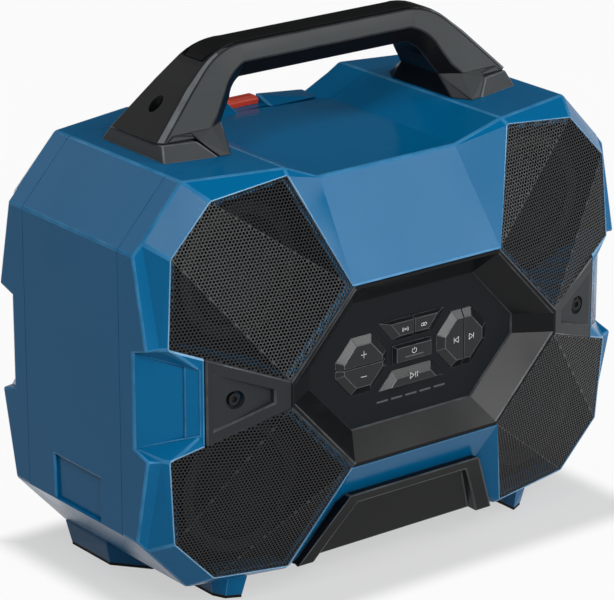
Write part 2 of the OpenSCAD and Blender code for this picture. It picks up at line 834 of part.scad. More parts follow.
module rear_shell() {
  front = ry(seam_f);
  groove_pitch = 9;
  groove_w = 4;
  groove_d = 3;
  back_skin = 15;
  lip_y = ry(edge_set - 7);
  color(blue) raised() difference() {
    union() {
      end_form(false);
      mirrored_x() {
        rear_lip(lip_y);
      }
    }
    difference() {
      slab(inset(section, wall), front - cut, ry(cavity_d));
      for (spot = tie_spots) {
        bar(spot, boss_r, front, ry(cavity_d) + cut);
      }
    }
    box(
      [-(tie_corner[0] - 2 * boss_r), front - cut, -(tie_corner[1] - boss_r)],
      [tie_corner[0] - 2 * boss_r, half_d - back_skin, tie_corner[1] - boss_r]
    );
    box(
      [-bay_out_w / 2 - fit_gap, front - cut, bay_low - fit_gap],
      [bay_out_w / 2 + fit_gap, half_d + cut, bay_top + 0.01]
    );
    box([-notch_w / 2, notch_front, bay_top - cut], [notch_w / 2, half_d + cut, half_h]);
    quadrants() {
      intersection() {
        slab(inset(flat(rim), 14), half_d - groove_d, half_d + rim_set);
        for (z = [groove_pitch:groove_pitch:half_h]) {
          box([0, 0, z - groove_w / 2], [half_w, half_d + cut, z + groove_w / 2]);
        }
      }
    }
    for (spot = tie_spots) {
      bar(spot, tie_d / 2 + screw_gap, front - cut, half_d + cut, $fn = hole_fn);
      bar(spot, tie_head_d / 2 + 1, front + tie_seat, half_d + cut, $fn = hole_fn);
    }
  }
}

// Raised lip that guards the release button on one side
module rear_lip(lip_y) {
  inner = [notch_w / 2, release_proud];
  outer = [valley_hw - 2, 0.6];
  lip_run = 14;
  lip_t = 5;
  sunk = 0.5;
  floor_z = half_h - valley_drop;
  solid([
    for (e = [inner, outer])
      each [
        [e[0], lip_y - lip_run, floor_z - sunk], [e[0], lip_y, floor_z + e[1]],
        [e[0], lip_y + lip_t, floor_z + e[1]], [e[0], lip_y + lip_t, floor_z - sunk]
      ]
  ]);
}

module seal(y0, y1) {
  seal_set = 0.9;
  color(dark) raised() difference() {
    slab(inset(section, seal_set), y0, y1);
    slab(inset(section, wall), y0 - cut, y1 + cut);
  }
}

module front_seal() {
  seal(fy(seam_f), fy(seam_b));
}

module rear_seal() {
  seal(ry(seam_b), ry(seam_f));
}

module tie_screws() {
  seat = ry(seam_f) + tie_seat;
  color(steel) raised() for (spot = tie_spots) {
    difference() {
      union() {
        bar(spot, tie_d / 2, fy(tie_tip), seat + 0.01);
        bar(spot, tie_head_d / 2, seat, seat + tie_head_t);
      }
      hex_socket(spot, seat + tie_head_t);
    }
  }
}

// Handle: a bar swept along a grip, a bend and a leaning leg on each side
handle_bolt_x = handle_w / 2 - 18;
handle_seat = foot_seam + 8;
leg_x = handle_w / 2 - 5;
seam_w = 20;
seam_in = leg_x - seam_w;
grip_z = half_h + handle_h - grip_h / 2;
leg_foot = [leg_x - grip_h / 2 * cos(leg_lean), half_h + foot_seam - grip_h / 2 * sin(leg_lean)];
corner_x = leg_foot[0] - (grip_z - leg_foot[1]) * tan(leg_lean);
bend_angle = 90 - leg_lean;
bend_reach = bend_r * tan(bend_angle / 2);
bend_centre = [corner_x - bend_reach, grip_z - bend_r];
bend_l = bend_r * bend_angle * PI / 180;
leg_l = norm(leg_foot - [corner_x, grip_z]) - bend_reach;
side_l = bend_l + leg_l;
bend_steps = 7;

// Stations on the right: place, direction of the outward normal from upright, share of the way down
bend_stations = [
  for (i = [0:bend_steps])
    let (a = i * bend_angle / bend_steps)
    [bend_centre + bend_r * [sin(a), cos(a)], a, bend_l * i / bend_steps / side_l]
];
bend_end = bend_stations[bend_steps];
leg_steps = 4;
leg_over = 1.2;
leg_stations = [
  for (i = [1:leg_steps])
    let (t = i / leg_steps * leg_over)
    [mix(bend_end[0], leg_foot, t), bend_angle, mix(bend_end[2], 1, t)]
];
stations_right = concat(bend_stations, leg_stations);
function station_left(s) = [flip_x(s[0]), -s[1], s[2]];
stations = concat(backward([for (s = stations_right) station_left(s)]), stations_right);

// Place in the handle of a height above the bar's middle and a distance from front to back
function on_bar(s, n, y) = [s[0][0] + n * sin(s[1]), y, s[0][1] + n * cos(s[1])];

// Bar's cut at a station: crown, bevel, widest edge and underside
crown_hd = grip_d / 2 - 4.4;
leg_extra = 8;
leg_proud = 3.5;
leg_fold = 9.5;
under_set = 6;
function bar_ring(s) =
  let (
    top = grip_h / 2,
    way = min(1, s[2] * 2),
    crown = top + mix(0, leg_proud, way),
    upper = mix(crown_hd, leg_hd, s[2]),
    bevel = mix(2, 4, way),
    drop = mix(0.8, 2.8, way),
    widest = mix(grip_d / 2, foot_hd, s[2]),
    under = mix(grip_d / 2, foot_hd, s[2]) - under_set,
    fold = mix(0, -leg_fold, way),
    low = mix(-top, -top - leg_extra, way)
  )
  [
    on_bar(s, crown, upper - bevel), on_bar(s, crown - drop, upper),
    on_bar(s, fold, widest), on_bar(s, low, under),
    on_bar(s, low, -under), on_bar(s, fold, -widest),
    on_bar(s, crown - drop, -upper), on_bar(s, crown, bevel - upper)
  ];

// Soft insert's cut at a station
insert_proud = 0.4;
insert_t = 3;
function insert_ring(s, shrink, proud) =
  let (
    half = insert_w / 2 - shrink,
    crown = grip_h / 2 + mix(0, leg_proud, min(1, s[2] * 2)),
    low = crown - insert_t + shrink
  )
  [
    on_bar(s, crown + proud, half), on_bar(s, low, half),
    on_bar(s, low, -half), on_bar(s, crown + proud, -half)
  ];

// Joins rings of equal length into one closed tube
module tube(rings) {
  n = len(rings[0]);
  last = len(rings) - 1;
  points = [for (ring = rings) each ring];
  sides = [
    for (i = [0:last - 1], j = [0:n - 1])
      each [
        [i * n + j, i * n + (j + 1) % n, (i + 1) * n + j],
        [i * n + (j + 1) % n, (i + 1) * n + (j + 1) % n, (i + 1) * n + j]
      ]
  ];
  ends = [[for (j = [n - 1:-1:0]) j], [for (j = [0:n - 1]) last * n + j]];
  polyhedron(points = points, faces = concat(sides, ends));
}

insert_share = 0.9 * bend_l / side_l;
insert_stations = [for (s = stations) if (s[2] < insert_share) s];

// Corners of a leg's level cut, from places across the leg and half depths
function level_cut(corners, z) = [for (c = corners, side = [-1, 1]) [c[0], side * c[1], z]];

// Place across the leg and half depth, at a height, of the edge that lies below the bar's middle line
function leg_edge(below, inset, z) =
  let (
    mid = z + below * cos(bend_angle),
    way = (bend_end[0][1] - mid) / (bend_end[0][1] - leg_foot[1])
  )
  [
    leg_foot[0] - (mid - leg_foot[1]) * tan(leg_lean) - below * sin(bend_angle),
    mix(grip_d / 2, foot_hd, mix(bend_end[2], 1, way)) - inset
  ];

module handle_frame() {
  seam_z = half_h + foot_seam + gap_line;
  flare_z = half_h + 14;
  neck = leg_edge(leg_fold, 0, flare_z);
  neck_in = leg_edge(grip_h / 2 + leg_extra, under_set, flare_z);
  neck_out = [seam_in + 1, mix(neck[1], leg_hd, (seam_in + 1 - neck[0]) / (leg_x - neck[0]))];
  base_out = handle_w / 2 - foot_w - gap_line;
  heel = [base_out - 7.7, foot_hd + 9];
  heel_in = [heel[0] - 7, foot_hd - 3];
  neck_low = mix(neck, heel, (flare_z - seam_z) / (flare_z - half_h));
  color(black) raised() translate([0, handle_y, 0]) difference() {
    union() {
      difference() {
        tube([for (s = stations) bar_ring(s)]);
        box([-handle_w, -body_d, half_h - handle_h], [handle_w, body_d, seam_z]);
      }
      mirrored_x() {
        solid(concat(
          level_cut([neck_in, neck, neck_out], flare_z),
          level_cut([[seam_in - gap_line, foot_hd]], seam_z),
          level_cut([heel_in, heel, [base_out, foot_hd + 8]], half_h)
        ));
        solid(concat(
          level_cut([neck, [leg_x - 6.5, leg_hd]], flare_z),
          level_cut([neck_low, [leg_x - 1, leg_hd + 0.4]], seam_z)
        ));
      }
    }
    tube([for (s = insert_stations) insert_ring(s, 0, insert_t)]);
    mirrored_x() {
      translate([handle_bolt_x, 0, half_h + foot_seam]) cylinder(r = tie_d / 2 + screw_gap, h = handle_h);
      translate([handle_bolt_x, 0, half_h + handle_seat]) cylinder(r = tie_head_d / 2 + 0.5, h = handle_h);
    }
  }
}

module handle_insert() {
  color(dark) raised() translate([0, handle_y, 0])
    tube([for (s = insert_stations) insert_ring(s, 0.15, insert_proud)]);
}

module handle_foot(sx) {
  color(gray) raised() translate([0, handle_y, 0]) mirror([sx < 0 ? 1 : 0, 0, 0]) difference() {
    solid(concat(
      level_cut([[handle_w / 2 - foot_w, foot_hd + 8], [handle_w / 2, foot_hd]], half_h),
      level_cut([[seam_in, foot_hd], [leg_x + 2, leg_hd]], half_h + foot_seam)
    ));
    translate([handle_bolt_x, 0, half_h - cut]) cylinder(r = tie_d / 2 + screw_gap, h = handle_h);
  }
}

module handle_screws() {
  bite = 6;
  tip_z = half_h - wall - bite;
  head_z = half_h + handle_seat;
  color(steel) raised() translate([0, handle_y, 0]) mirrored_x() difference() {
    union() {
      translate([handle_bolt_x, 0, tip_z]) cylinder(r = tie_d / 2, h = head_z - tip_z + 0.01);
      translate([handle_bolt_x, 0, head_z]) cylinder(r = tie_head_d / 2, h = tie_head_t);
    }
    translate([handle_bolt_x, 0, head_z + tie_head_t - socket_depth])
      cylinder(d = socket_d, h = socket_depth + cut, $fn = 6);
  }
}

// Black kick plate below the key panel
module kick_plate() {
  top_w = 51.9;
  low_w = valley_out - 2 * wall;
  drop = 25;
  top_z = -(panel_h / 2 + drop);
  low_z = -half_h + 0.5;
  top_d = 10.2;
  deep = valley_p[1] + 5;
  border = 9;
  sunk = 10;
  skirt = 8;
  color(black) raised() difference() {
    solid([
      for (sx = [-1, 1])
        each [
          [sx * top_w, fy(top_d), top_z], [sx * top_w, fy(deep), top_z],
          [sx * low_w, fy(rim_set + 1), low_z], [sx * low_w, fy(rim_set + 1 + skirt), low_z + 2.5]
        ]
    ]);
    solid([
      for (sx = [-1, 1])
        each [
          [sx * (top_w - border), fy(top_d - cut), top_z - border * 2 / 3],
          [sx * (top_w - border + 2), fy(top_d - cut + sunk), top_z - border],
          [sx * (low_w - border - 3), fy(rim_set - 2), low_z - 0.1],
          [sx * (low_w - border - 5), fy(rim_set + skirt - 1), low_z - 0.1]
        ]
    ]);
    end_form(true);
  }
}

// Foot outlines on the right, seen from below, with a bevelled outer front corner
front_foot_x = 111.5;
front_foot_w = 13.5;
front_foot_set = 43;
front_foot_l = 36;
rear_foot_x = 110;
rear_foot_w = 39;
rear_foot_set = 26;
rear_foot_l = 65;
front_toe = [[0.7, 0.125], [1, 0.36]];
rear_toe = [[0.54, 0], [1, 0.34]];
function foot_outline(x, w, d, l, toe) = concat(
  [[x, fy(d)]],
  [for (t = toe) [x + t[0] * w, fy(d + t[1] * l)]],
  [[x + w, fy(d + l)], [x, fy(d + l)]]
);
foot_outlines = [
  foot_outline(front_foot_x, front_foot_w, front_foot_set, front_foot_l, front_toe),
  foot_outline(rear_foot_x, rear_foot_w, body_d - rear_foot_set - rear_foot_l, rear_foot_l, rear_toe)
];

// A foot from its pad up into the body, wider at its top
module foot(outline) {
  flare = 4;
  rise = 2 * wall;
  middle = (outline[0] + outline[3]) / 2;
  wide = [for (p = outline) p + flare * unit(p - middle)];
  solid(concat(
    [for (p = outline) [p[0], p[1], -half_h - foot_h + pad_t]],
    [for (p = wide, z = [-half_h, -half_h + rise]) [p[0], p[1], z]]
  ));
}

module feet() {
  color(blue) raised() difference() {
    mirrored_x() for (outline = foot_outlines) {
      foot(outline);
    }
    end_form(true);
    end_form(false);
    slab(section, fy(waist_s[1]), ry(waist_s[1]));
  }
}

module foot_pads() {
  pad_margin = 0.5;
  color(dark) mirrored_x() for (outline = foot_outlines) {
    middle = (outline[0] + outline[3]) / 2;
    linear_extrude(pad_t) polygon([for (p = outline) p - pad_margin * unit(p - middle)]);
  }
}

// Battery bay, open to the back, with a rail on each side
module battery_bay() {
  half_in = bay_in_w / 2;
  low = bay_low + bay_wall;
  top = bay_top - bay_wall;
  color(dark) raised() difference() {
    box([-bay_out_w / 2, bay_front, bay_low], [bay_out_w / 2, bay_back, bay_top]);
    difference() {
      box([-half_in, bay_front + bay_wall, low], [half_in, half_d + cut, top]);
      mirrored_x() {
        box(
          [half_in - rail_w, bay_front, rail_z - rail_h / 2],
          [half_in + cut, pack_back - rail_end, rail_z + rail_h / 2]
        );
      }
    }
    box([-notch_w / 2, notch_front, top - cut], [notch_w / 2, half_d + cut, bay_top + cut]);
  }
}

blade_x = 16;
blade_w = 8;
blade_t = 1.2;
blade_l = 9;

module battery_terminal() {
  half = 28;
  rise = 15;
  y0 = bay_front + bay_wall;
  color(green) raised() {
    box([-half, y0, rail_z - rise], [half, y0 + terminal_t, rail_z + rise]);
    mirrored_x() {
      box(
        [blade_x - blade_t / 2, y0 + terminal_t - 0.01, rail_z - blade_w / 2],
        [blade_x + blade_t / 2, y0 + terminal_t + blade_l, rail_z + blade_w / 2]
      );
    }
  }
}

module battery_pack() {
  half = pack_w / 2;
  bevel = 4;
  outline = [
    [half - bevel, pack_top], [half, pack_top - bevel],
    [half, pack_top - pack_h + bevel], [half - bevel, pack_top - pack_h],
    [-half + bevel, pack_top - pack_h], [-half, pack_top - pack_h + bevel],
    [-half, pack_top - bevel], [-half + bevel, pack_top]
  ];
  well = 0.4;
  color(black) raised() difference() {
    slab(outline, pack_front, pack_back);
    mirrored_x() {
      box(
        [bay_in_w / 2 - rail_w - pack_gap, pack_front - cut, rail_z - rail_h / 2 - pack_gap],
        [half + cut, pack_back - rail_end + 2 * pack_gap, rail_z + rail_h / 2 + pack_gap]
      );
      box(
        [blade_x - blade_t / 2 - pack_gap, pack_front - cut, rail_z - blade_w / 2 - pack_gap],
        [blade_x + blade_t / 2 + pack_gap, pack_front + blade_l + 2, rail_z + blade_w / 2 + pack_gap]
      );
    }
    box(
      [-release_w / 2 - well, release_back - release_l - well, release_low - release_travel - well],
      [release_w / 2 + well, pack_back + cut, pack_top + cut]
    );
  }
}

module battery_release() {
  color(red) raised() solid([
    for (sx = [-1, 1])
      each [
        [sx * release_w / 2, release_back - release_l, release_low],
        [sx * release_w / 2, release_back, release_low],
        [sx * release_w / 2, release_back - release_l, release_top - 1.5],
        [sx * (release_w / 2 - 1), release_back - release_l + 2, release_top],
        [sx * (release_w / 2 - 1), release_back - 2, release_top],
        [sx * release_w / 2, release_back, release_top - 2]
      ]
  ]);
}

// Amplifier on posts above the floor of the main housing
amp_floor = half_h - valley_drop - wall + 0.01;
amp_post = 12;
amp_w = 84;
amp_l = 70;
amp_y = 8;
amp_t = 1.6;
amp_z = -amp_floor + amp_post;
amp_margin = 6;
amp_spots = [
  for (sx = [-1, 1], sy = [-1, 1])
    [sx * (amp_w / 2 - amp_margin), amp_y + sy * (amp_l / 2 - amp_margin)]
];

module amplifier_board() {
  choke_x = -20;
  choke_r = 9;
  choke_h = 10;
  can_x = 24;
  can_r = 6;
  can_h = 18;
  can_ys = [amp_y - 10, amp_y + 8];
  color(green) raised() {
    difference() {
      box([-amp_w / 2, amp_y - amp_l / 2, amp_z], [amp_w / 2, amp_y + amp_l / 2, amp_z + amp_t]);
      for (spot = amp_spots) {
        translate([spot[0], spot[1], amp_z - cut])
          cylinder(r = driver_screw_r + screw_gap, h = amp_t + 2 * cut);
      }
    }
    translate([choke_x, amp_y, amp_z + amp_t - 0.01]) cylinder(r = choke_r, h = choke_h);
    for (y = can_ys) {
      translate([can_x, y, amp_z + amp_t - 0.01]) cylinder(r = can_r, h = can_h);
    }
  }
}

module heat_sink() {
  fins = 6;
  fin_t = 1.8;
  fin_h = 20;
  sink_x = -9;
  sink_w = 26;
  sink_l = 44;
  base_t = 3;
  z0 = amp_z + amp_t;
  color(steel) raised() translate([sink_x, amp_y - sink_l / 2, z0]) {
    cube([sink_w, sink_l, base_t]);
    for (i = [0:fins - 1]) {
      translate([i * (sink_w - fin_t) / (fins - 1), 0, 0]) cube([fin_t, sink_l, fin_h]);
    }
  }
}

module amplifier_screws() {
  tip_gap = 2;
  color(steel) raised() for (spot = amp_spots) {
    translate([spot[0], spot[1], tip_gap - amp_floor])
      cylinder(r = driver_screw_r, h = amp_post - tip_gap + amp_t + 0.01);
    translate([spot[0], spot[1], amp_z + amp_t]) cylinder(r = small_head_r, h = small_head_t);
  }
}

front_shell();
main_housing();
rear_shell();
front_seal();
rear_seal();
panel_frame();
key_plate();
control_board();
key_switches();
battery_lights();
volume_up_key();
volume_down_key();
wireless_key();
link_key();
power_key();
play_key();
previous_key();
next_key();
grille(-1, 1);  // grille_upper_left
grille(1, 1);  // grille_upper_right
grille(-1, -1);  // grille_lower_left
grille(1, -1);  // grille_lower_right
driver_frame(-1, 1);  // driver_frame_upper_left
driver_frame(1, 1);  // driver_frame_upper_right
driver_frame(-1, -1);  // driver_frame_lower_left
driver_frame(1, -1);  // driver_frame_lower_right
magnet(-1, 1);  // magnet_upper_left
magnet(1, 1);  // magnet_upper_right
magnet(-1, -1);  // magnet_lower_left
magnet(1, -1);  // magnet_lower_right
cone(-1, 1);  // cone_upper_left
cone(1, 1);  // cone_upper_right
cone(-1, -1);  // cone_lower_left
cone(1, -1);  // cone_lower_right
surround(-1, 1);  // surround_upper_left
surround(1, 1);  // surround_upper_right
surround(-1, -1);  // surround_lower_left
surround(1, -1);  // surround_lower_right
driver_screws();
handle_frame();
handle_insert();
handle_foot(-1);  // handle_foot_left
handle_foot(1);  // handle_foot_right
handle_screws();
kick_plate();
feet();
foot_pads();
cheek_screws();
tie_screws();
battery_bay();
battery_terminal();
battery_pack();
battery_release();
amplifier_board();
heat_sink();
amplifier_screws();
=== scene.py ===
"""Looks of a wireless jobsite speaker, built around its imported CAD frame."""

import logging
import math
from dataclasses import dataclass, field, replace
from enum import Enum, IntEnum
from typing import Any, Iterable, Sequence

import bmesh
import bpy
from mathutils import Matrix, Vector, geometry
from mathutils.bvhtree import BVHTree


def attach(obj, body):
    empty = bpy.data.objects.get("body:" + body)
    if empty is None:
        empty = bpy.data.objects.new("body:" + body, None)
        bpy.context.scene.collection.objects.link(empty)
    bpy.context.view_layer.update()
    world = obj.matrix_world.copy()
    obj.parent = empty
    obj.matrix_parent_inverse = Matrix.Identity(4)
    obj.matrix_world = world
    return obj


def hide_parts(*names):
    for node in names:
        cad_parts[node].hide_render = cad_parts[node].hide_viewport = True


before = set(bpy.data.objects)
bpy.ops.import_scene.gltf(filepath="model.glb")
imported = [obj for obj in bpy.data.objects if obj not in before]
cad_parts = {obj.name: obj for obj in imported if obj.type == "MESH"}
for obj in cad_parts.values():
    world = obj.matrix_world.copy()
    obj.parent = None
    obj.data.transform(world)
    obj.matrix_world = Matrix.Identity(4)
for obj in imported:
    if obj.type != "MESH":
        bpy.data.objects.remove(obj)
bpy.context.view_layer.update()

LOG = logging.getLogger("speaker")
MM = 0.001
FRONT_Y = -101.0
MIDDLE_Z = 146.0
# Corners nearer than this are one corner, and faces that turn less than this are one face
WELD_MM = 0.08
FLAT_DEG = 0.6
# Edges sharper than this are rounded, and those this near to a seam are not
EDGE_DEG = 20.0
SEAM_MM = 0.3
# An edge looks away from the side that is seen when its outward direction turns back more than this
TURNED_AWAY = 0.3
# Room that a rounding needs, in widths of the rounding, and where along an edge it is looked for
ROOM_WIDTHS = 2.2
ROOM_SHARES = (0.3, 0.5, 0.7)
# Faces across the rounding of a node that keeps its CAD mesh
DRESS_STEPS = 2
# Shading runs on over edges of a rounding or a bore that turn less than this, and stays flat elsewhere
CREASE_DEG = 40.0
# Faces of a bore turn at least this much
BORE_DEG = 2.4
# A ribbon's mitre grows no longer than at this cosine of half its turn
MITRE_COS = 0.35
# Most values of a noise texture lie between these
NOISE_LOW = 0.3
NOISE_HIGH = 0.7
# Colour sockets of Blender's mix node: its two inputs and its output
MIX_A = 6
MIX_B = 7
MIX_OUT = 2
Point2 = tuple[float, float]
Point3 = tuple[float, float, float]


# Shared helpers


def linear(code: str) -> tuple[float, float, float, float]:
    """Turns an sRGB hex colour to linear light.

    Args:
        code: The colour as six hex digits after a hash sign.

    Returns:
        Red, green, blue and an alpha of one.
    """
    shares = [int(code[i:i + 2], 16) / 255 for i in (1, 3, 5)]
    return (*[s / 12.92 if s <= 0.04045 else ((s + 0.055) / 1.055) ** 2.4 for s in shares], 1.0)


def per_metre(size_mm: float) -> float:
    """Scale of a pattern whose features are size_mm across."""
    return 1 / (size_mm * MM)


def add_node(tree: bpy.types.NodeTree, kind: str, settings: dict[str | int, Any] | None = None,
             links: dict[str | int, bpy.types.NodeSocket] | None = None) -> bpy.types.Node:
    """Adds a shader node with its settings and links.

    Args:
        tree: The node tree to add to.
        kind: Blender's name for the node.
        settings: Socket values by socket name or number, and node properties by name.
        links: Sockets to link from, by the input that each one feeds.

    Returns:
        The new node.
    """
    node = tree.nodes.new(kind)
    for key, value in (settings or {}).items():
        if isinstance(key, str) and key not in node.inputs:
            setattr(node, key, value)
        else:
            node.inputs[key].default_value = value
    for key, socket in (links or {}).items():
        tree.links.new(socket, node.inputs[key])
    return node


def place(x: float, depth: float, height: float) -> Vector:
    """Point in the row frame of a width, a depth behind the front and a height from the middle."""
    return Vector((x * MM, (FRONT_Y + depth) * MM, (MIDDLE_Z + height) * MM))


# Finishes


class Finish:
    """A surface finish that makes its material once."""

    name: str

    def material(self) -> bpy.types.Material:
        """Finds or makes the material.

        Returns:
            The material with this finish's nodes.
        """
        found = bpy.data.materials.get(self.name)
        if found:
            return found
        made = bpy.data.materials.new(self.name)
        made.use_nodes = True
        tree = made.node_tree
        spot = add_node(tree, "ShaderNodeTexCoord").outputs["Object"]
        self.paint(tree, tree.nodes["Principled BSDF"], spot)
        return made

    def paint(self, tree: bpy.types.NodeTree, shader: bpy.types.Node, spot: bpy.types.NodeSocket) -> None:
        """Adds the finish's own nodes.

        Args:
            tree: The material's node tree.
            shader: Its Principled shader.
            spot: Place on the object in metres.
        """
        raise NotImplementedError


@dataclass(frozen=True)
class MouldedPlastic(Finish):
    """Injection-moulded plastic whose mould was spark eroded to a fine grain.

    The grain breaks highlights into a satin, and slow flow marks change the gloss a little. The edges are
    painted paler: a painted highlight along the roundings, with a little wear from handling.
    """

    name: str
    colour: str
    flow_colour: str
    # Colour of the edges: a painted highlight, with a little wear
    rubbed_highlight: str
    roughness: float = 0.45
    specular: float = 0.4
    grain_mm: float = 0.7
    grain_depth_mm: float = 0.03
    flow_mm: float = 60.0
    # Size of the tone changes on the painted edge highlight
    edge_flow_mm: float = 14.0
    grain_strength: float = 0.5
    gloss_spread: float = 0.05

    def worn(self) -> "MouldedPlastic":
        """The finish of this plastic's edges: a painted highlight, with a little wear."""
        return replace(self, name=f"{self.name}_worn_edge", colour=self.rubbed_highlight, flow_mm=self.edge_flow_mm)

    def paint(self, tree: bpy.types.NodeTree, shader: bpy.types.Node, spot: bpy.types.NodeSocket) -> None:
        """Adds the grain and the flow marks.

        Args:
            tree: The material's node tree.
            shader: Its Principled shader.
            spot: Place on the object in metres.
        """
        # Real grain is about 0.2 mm: it is drawn coarser so that it shows in the render
        grain = add_node(tree, "ShaderNodeTexNoise", {"Scale": per_metre(self.grain_mm), "Detail": 2.0},
                         {"Vector": spot})
        bump = add_node(tree, "ShaderNodeBump",
                        {"Strength": self.grain_strength, "Distance": self.grain_depth_mm * MM},
                        {"Height": grain.outputs["Fac"]})
        flow = add_node(tree, "ShaderNodeTexNoise", {"Scale": per_metre(self.flow_mm), "Detail": 3.0},
                        {"Vector": spot})
        gloss = add_node(tree, "ShaderNodeMapRange",
                         {"From Min": NOISE_LOW, "From Max": NOISE_HIGH,
                          "To Min": self.roughness - self.gloss_spread,
                          "To Max": self.roughness + self.gloss_spread}, {"Value": flow.outputs["Fac"]})
        body = add_node(tree, "ShaderNodeMix",
                        {"data_type": "RGBA", MIX_A: linear(self.colour), MIX_B: linear(self.flow_colour)},
                        {0: flow.outputs["Fac"]})
        shader.inputs["IOR"].default_value = 1.5
        shader.inputs["Specular IOR Level"].default_value = self.specular
        tree.links.new(body.outputs[MIX_OUT], shader.inputs["Base Color"])
        tree.links.new(gloss.outputs["Result"], shader.inputs["Roughness"])
        tree.links.new(bump.outputs["Normal"], shader.inputs["Normal"])


@dataclass(frozen=True)
class SpeckledSurface(Finish):
    """A surface with one fine grain and a slow change of tone: rubber, pulp, ferrite, ink or powder coat.

    The grain gives the matte or orange-peel look, and the slow change keeps large areas from being flat.
    """

    name: str
    colour: str
    tone: str
    roughness: float
    grain_mm: float
    grain_depth_mm: float
    specular: float = 0.4
    tone_mm: float = 18.0
    metallic: float = 0.0
    stretch: Point3 = (1.0, 1.0, 1.0)
    grain_strength: float = 0.6
    gloss_spread: float = 0.06

    def paint(self, tree: bpy.types.NodeTree, shader: bpy.types.Node, spot: bpy.types.NodeSocket) -> None:
        """Adds the grain and the slow change of tone.

        Args:
            tree: The material's node tree.
            shader: Its Principled shader.
            spot: Place on the object in metres.
        """
        drawn = add_node(tree, "ShaderNodeMapping", {"Scale": self.stretch}, {"Vector": spot})
        grain = add_node(tree, "ShaderNodeTexNoise", {"Scale": per_metre(self.grain_mm), "Detail": 3.0},
                         {"Vector": drawn.outputs["Vector"]})
        bump = add_node(tree, "ShaderNodeBump",
                        {"Strength": self.grain_strength, "Distance": self.grain_depth_mm * MM},
                        {"Height": grain.outputs["Fac"]})
        slow = add_node(tree, "ShaderNodeTexNoise", {"Scale": per_metre(self.tone_mm), "Detail": 4.0},
                        {"Vector": drawn.outputs["Vector"]})
        body = add_node(tree, "ShaderNodeMix",
                        {"data_type": "RGBA", MIX_A: linear(self.colour), MIX_B: linear(self.tone)},
                        {0: slow.outputs["Fac"]})
        gloss = add_node(tree, "ShaderNodeMapRange",
                         {"From Min": NOISE_LOW, "From Max": NOISE_HIGH,
                          "To Min": self.roughness - self.gloss_spread,
                          "To Max": self.roughness + self.gloss_spread}, {"Value": grain.outputs["Fac"]})
        shader.inputs["Metallic"].default_value = self.metallic
        shader.inputs["Specular IOR Level"].default_value = self.specular
        tree.links.new(body.outputs[MIX_OUT], shader.inputs["Base Color"])
        tree.links.new(gloss.outputs["Result"], shader.inputs["Roughness"])
        tree.links.new(bump.outputs["Normal"], shader.inputs["Normal"])


@dataclass(frozen=True)
class SolderMask(Finish):
    """Glass-fibre board under a glossy solder mask, with copper tracks that show as paler lines."""

    name: str
    colour: str
    track: str
    track_mm: float = 3.0
    track_edge: Point2 = (0.04, 0.1)
    roughness: float = 0.25

    def paint(self, tree: bpy.types.NodeTree, shader: bpy.types.Node, spot: bpy.types.NodeSocket) -> None:
        """Adds the tracks under the mask.

        Args:
            tree: The material's node tree.
            shader: Its Principled shader.
            spot: Place on the object in metres.
        """
        cells = add_node(tree, "ShaderNodeTexVoronoi",
                         {"feature": "DISTANCE_TO_EDGE", "Scale": per_metre(self.track_mm)},
                         {"Vector": spot})
        line = add_node(tree, "ShaderNodeMapRange",
                        {"From Min": self.track_edge[0], "From Max": self.track_edge[1]},
                        {"Value": cells.outputs["Distance"]})
        body = add_node(tree, "ShaderNodeMix",
                        {"data_type": "RGBA", MIX_A: linear(self.track), MIX_B: linear(self.colour)},
                        {0: line.outputs["Result"]})
        shader.inputs["Roughness"].default_value = self.roughness
        tree.links.new(body.outputs[MIX_OUT], shader.inputs["Base Color"])


# Tough ABS blend moulded in blue: satin, with edges that catch the light, and a paler edge colour that is a
# painted highlight
BLUE_ABS = MouldedPlastic("blue_moulded_abs", "#026A9C", "#026294", "#4F98C8", roughness=0.2,
                          specular=0.1, grain_depth_mm=0.012)
# The same plastic on the roundings of the rims round the grilles, painted very pale as a painted highlight
BLUE_RIM_HIGHLIGHT = replace(BLUE_ABS, name="blue_abs_painted_rim_highlight", colour="#A6D4F4")
# Glass-filled nylon moulded in black: a dry satin that turns grey where light grazes it, with a grey
# painted highlight on its edges
BLACK_NYLON = MouldedPlastic("black_moulded_nylon", "#141517", "#101113", "#63676A", roughness=0.2,
                             specular=0.11, grain_depth_mm=0.012)
# The same nylon with a drier skin on the cheeks beside the key panel, painted paler as a painted sheen
CHEEK_SHEEN_NYLON = MouldedPlastic("black_nylon_painted_sheen", "#303336", "#2B2E31", "#85898D", roughness=0.4,
                             specular=0.12)
# The same nylon on the handle, duller and with a fainter painted highlight on its edges
HANDLE_NYLON = replace(BLACK_NYLON, name="black_moulded_handle", rubbed_highlight="#3E4144", specular=0.05)
# The handle's front faces, which the photograph shows paler than the rest
# Their paler colour is painted light from the front, and their chamfers take a pale painted highlight
HANDLE_FRONT_LIT = replace(CHEEK_SHEEN_NYLON, name="gray_nylon_painted_front_light", colour="#454849", flow_colour="#404344")
# The same nylon moulded in dark grey, with a pale painted highlight on its edges
GRAY_NYLON = MouldedPlastic("gray_moulded_nylon", "#45484A", "#404345", "#85898D", roughness=0.42,
                            specular=0.15)
# Smooth black face plate, less grained than the frame round it, with a grey painted highlight on its edges
KEY_FACE = MouldedPlastic("black_moulded_face", "#15191C", "#111518", "#3A3D40", roughness=0.4,
                          specular=0.1, grain_depth_mm=0.012)
# Silicone keys with a satin skin and a grey painted highlight on their edges
KEY_SILICONE = MouldedPlastic("black_silicone_keys", "#16191B", "#121517", "#6A6D70", roughness=0.2,
                              specular=0.3, grain_depth_mm=0.008)
# Red moulded ABS, with a pale painted highlight on its edges
RED_ABS = MouldedPlastic("red_moulded_abs", "#E0452F", "#D63F2B", "#F0806C")
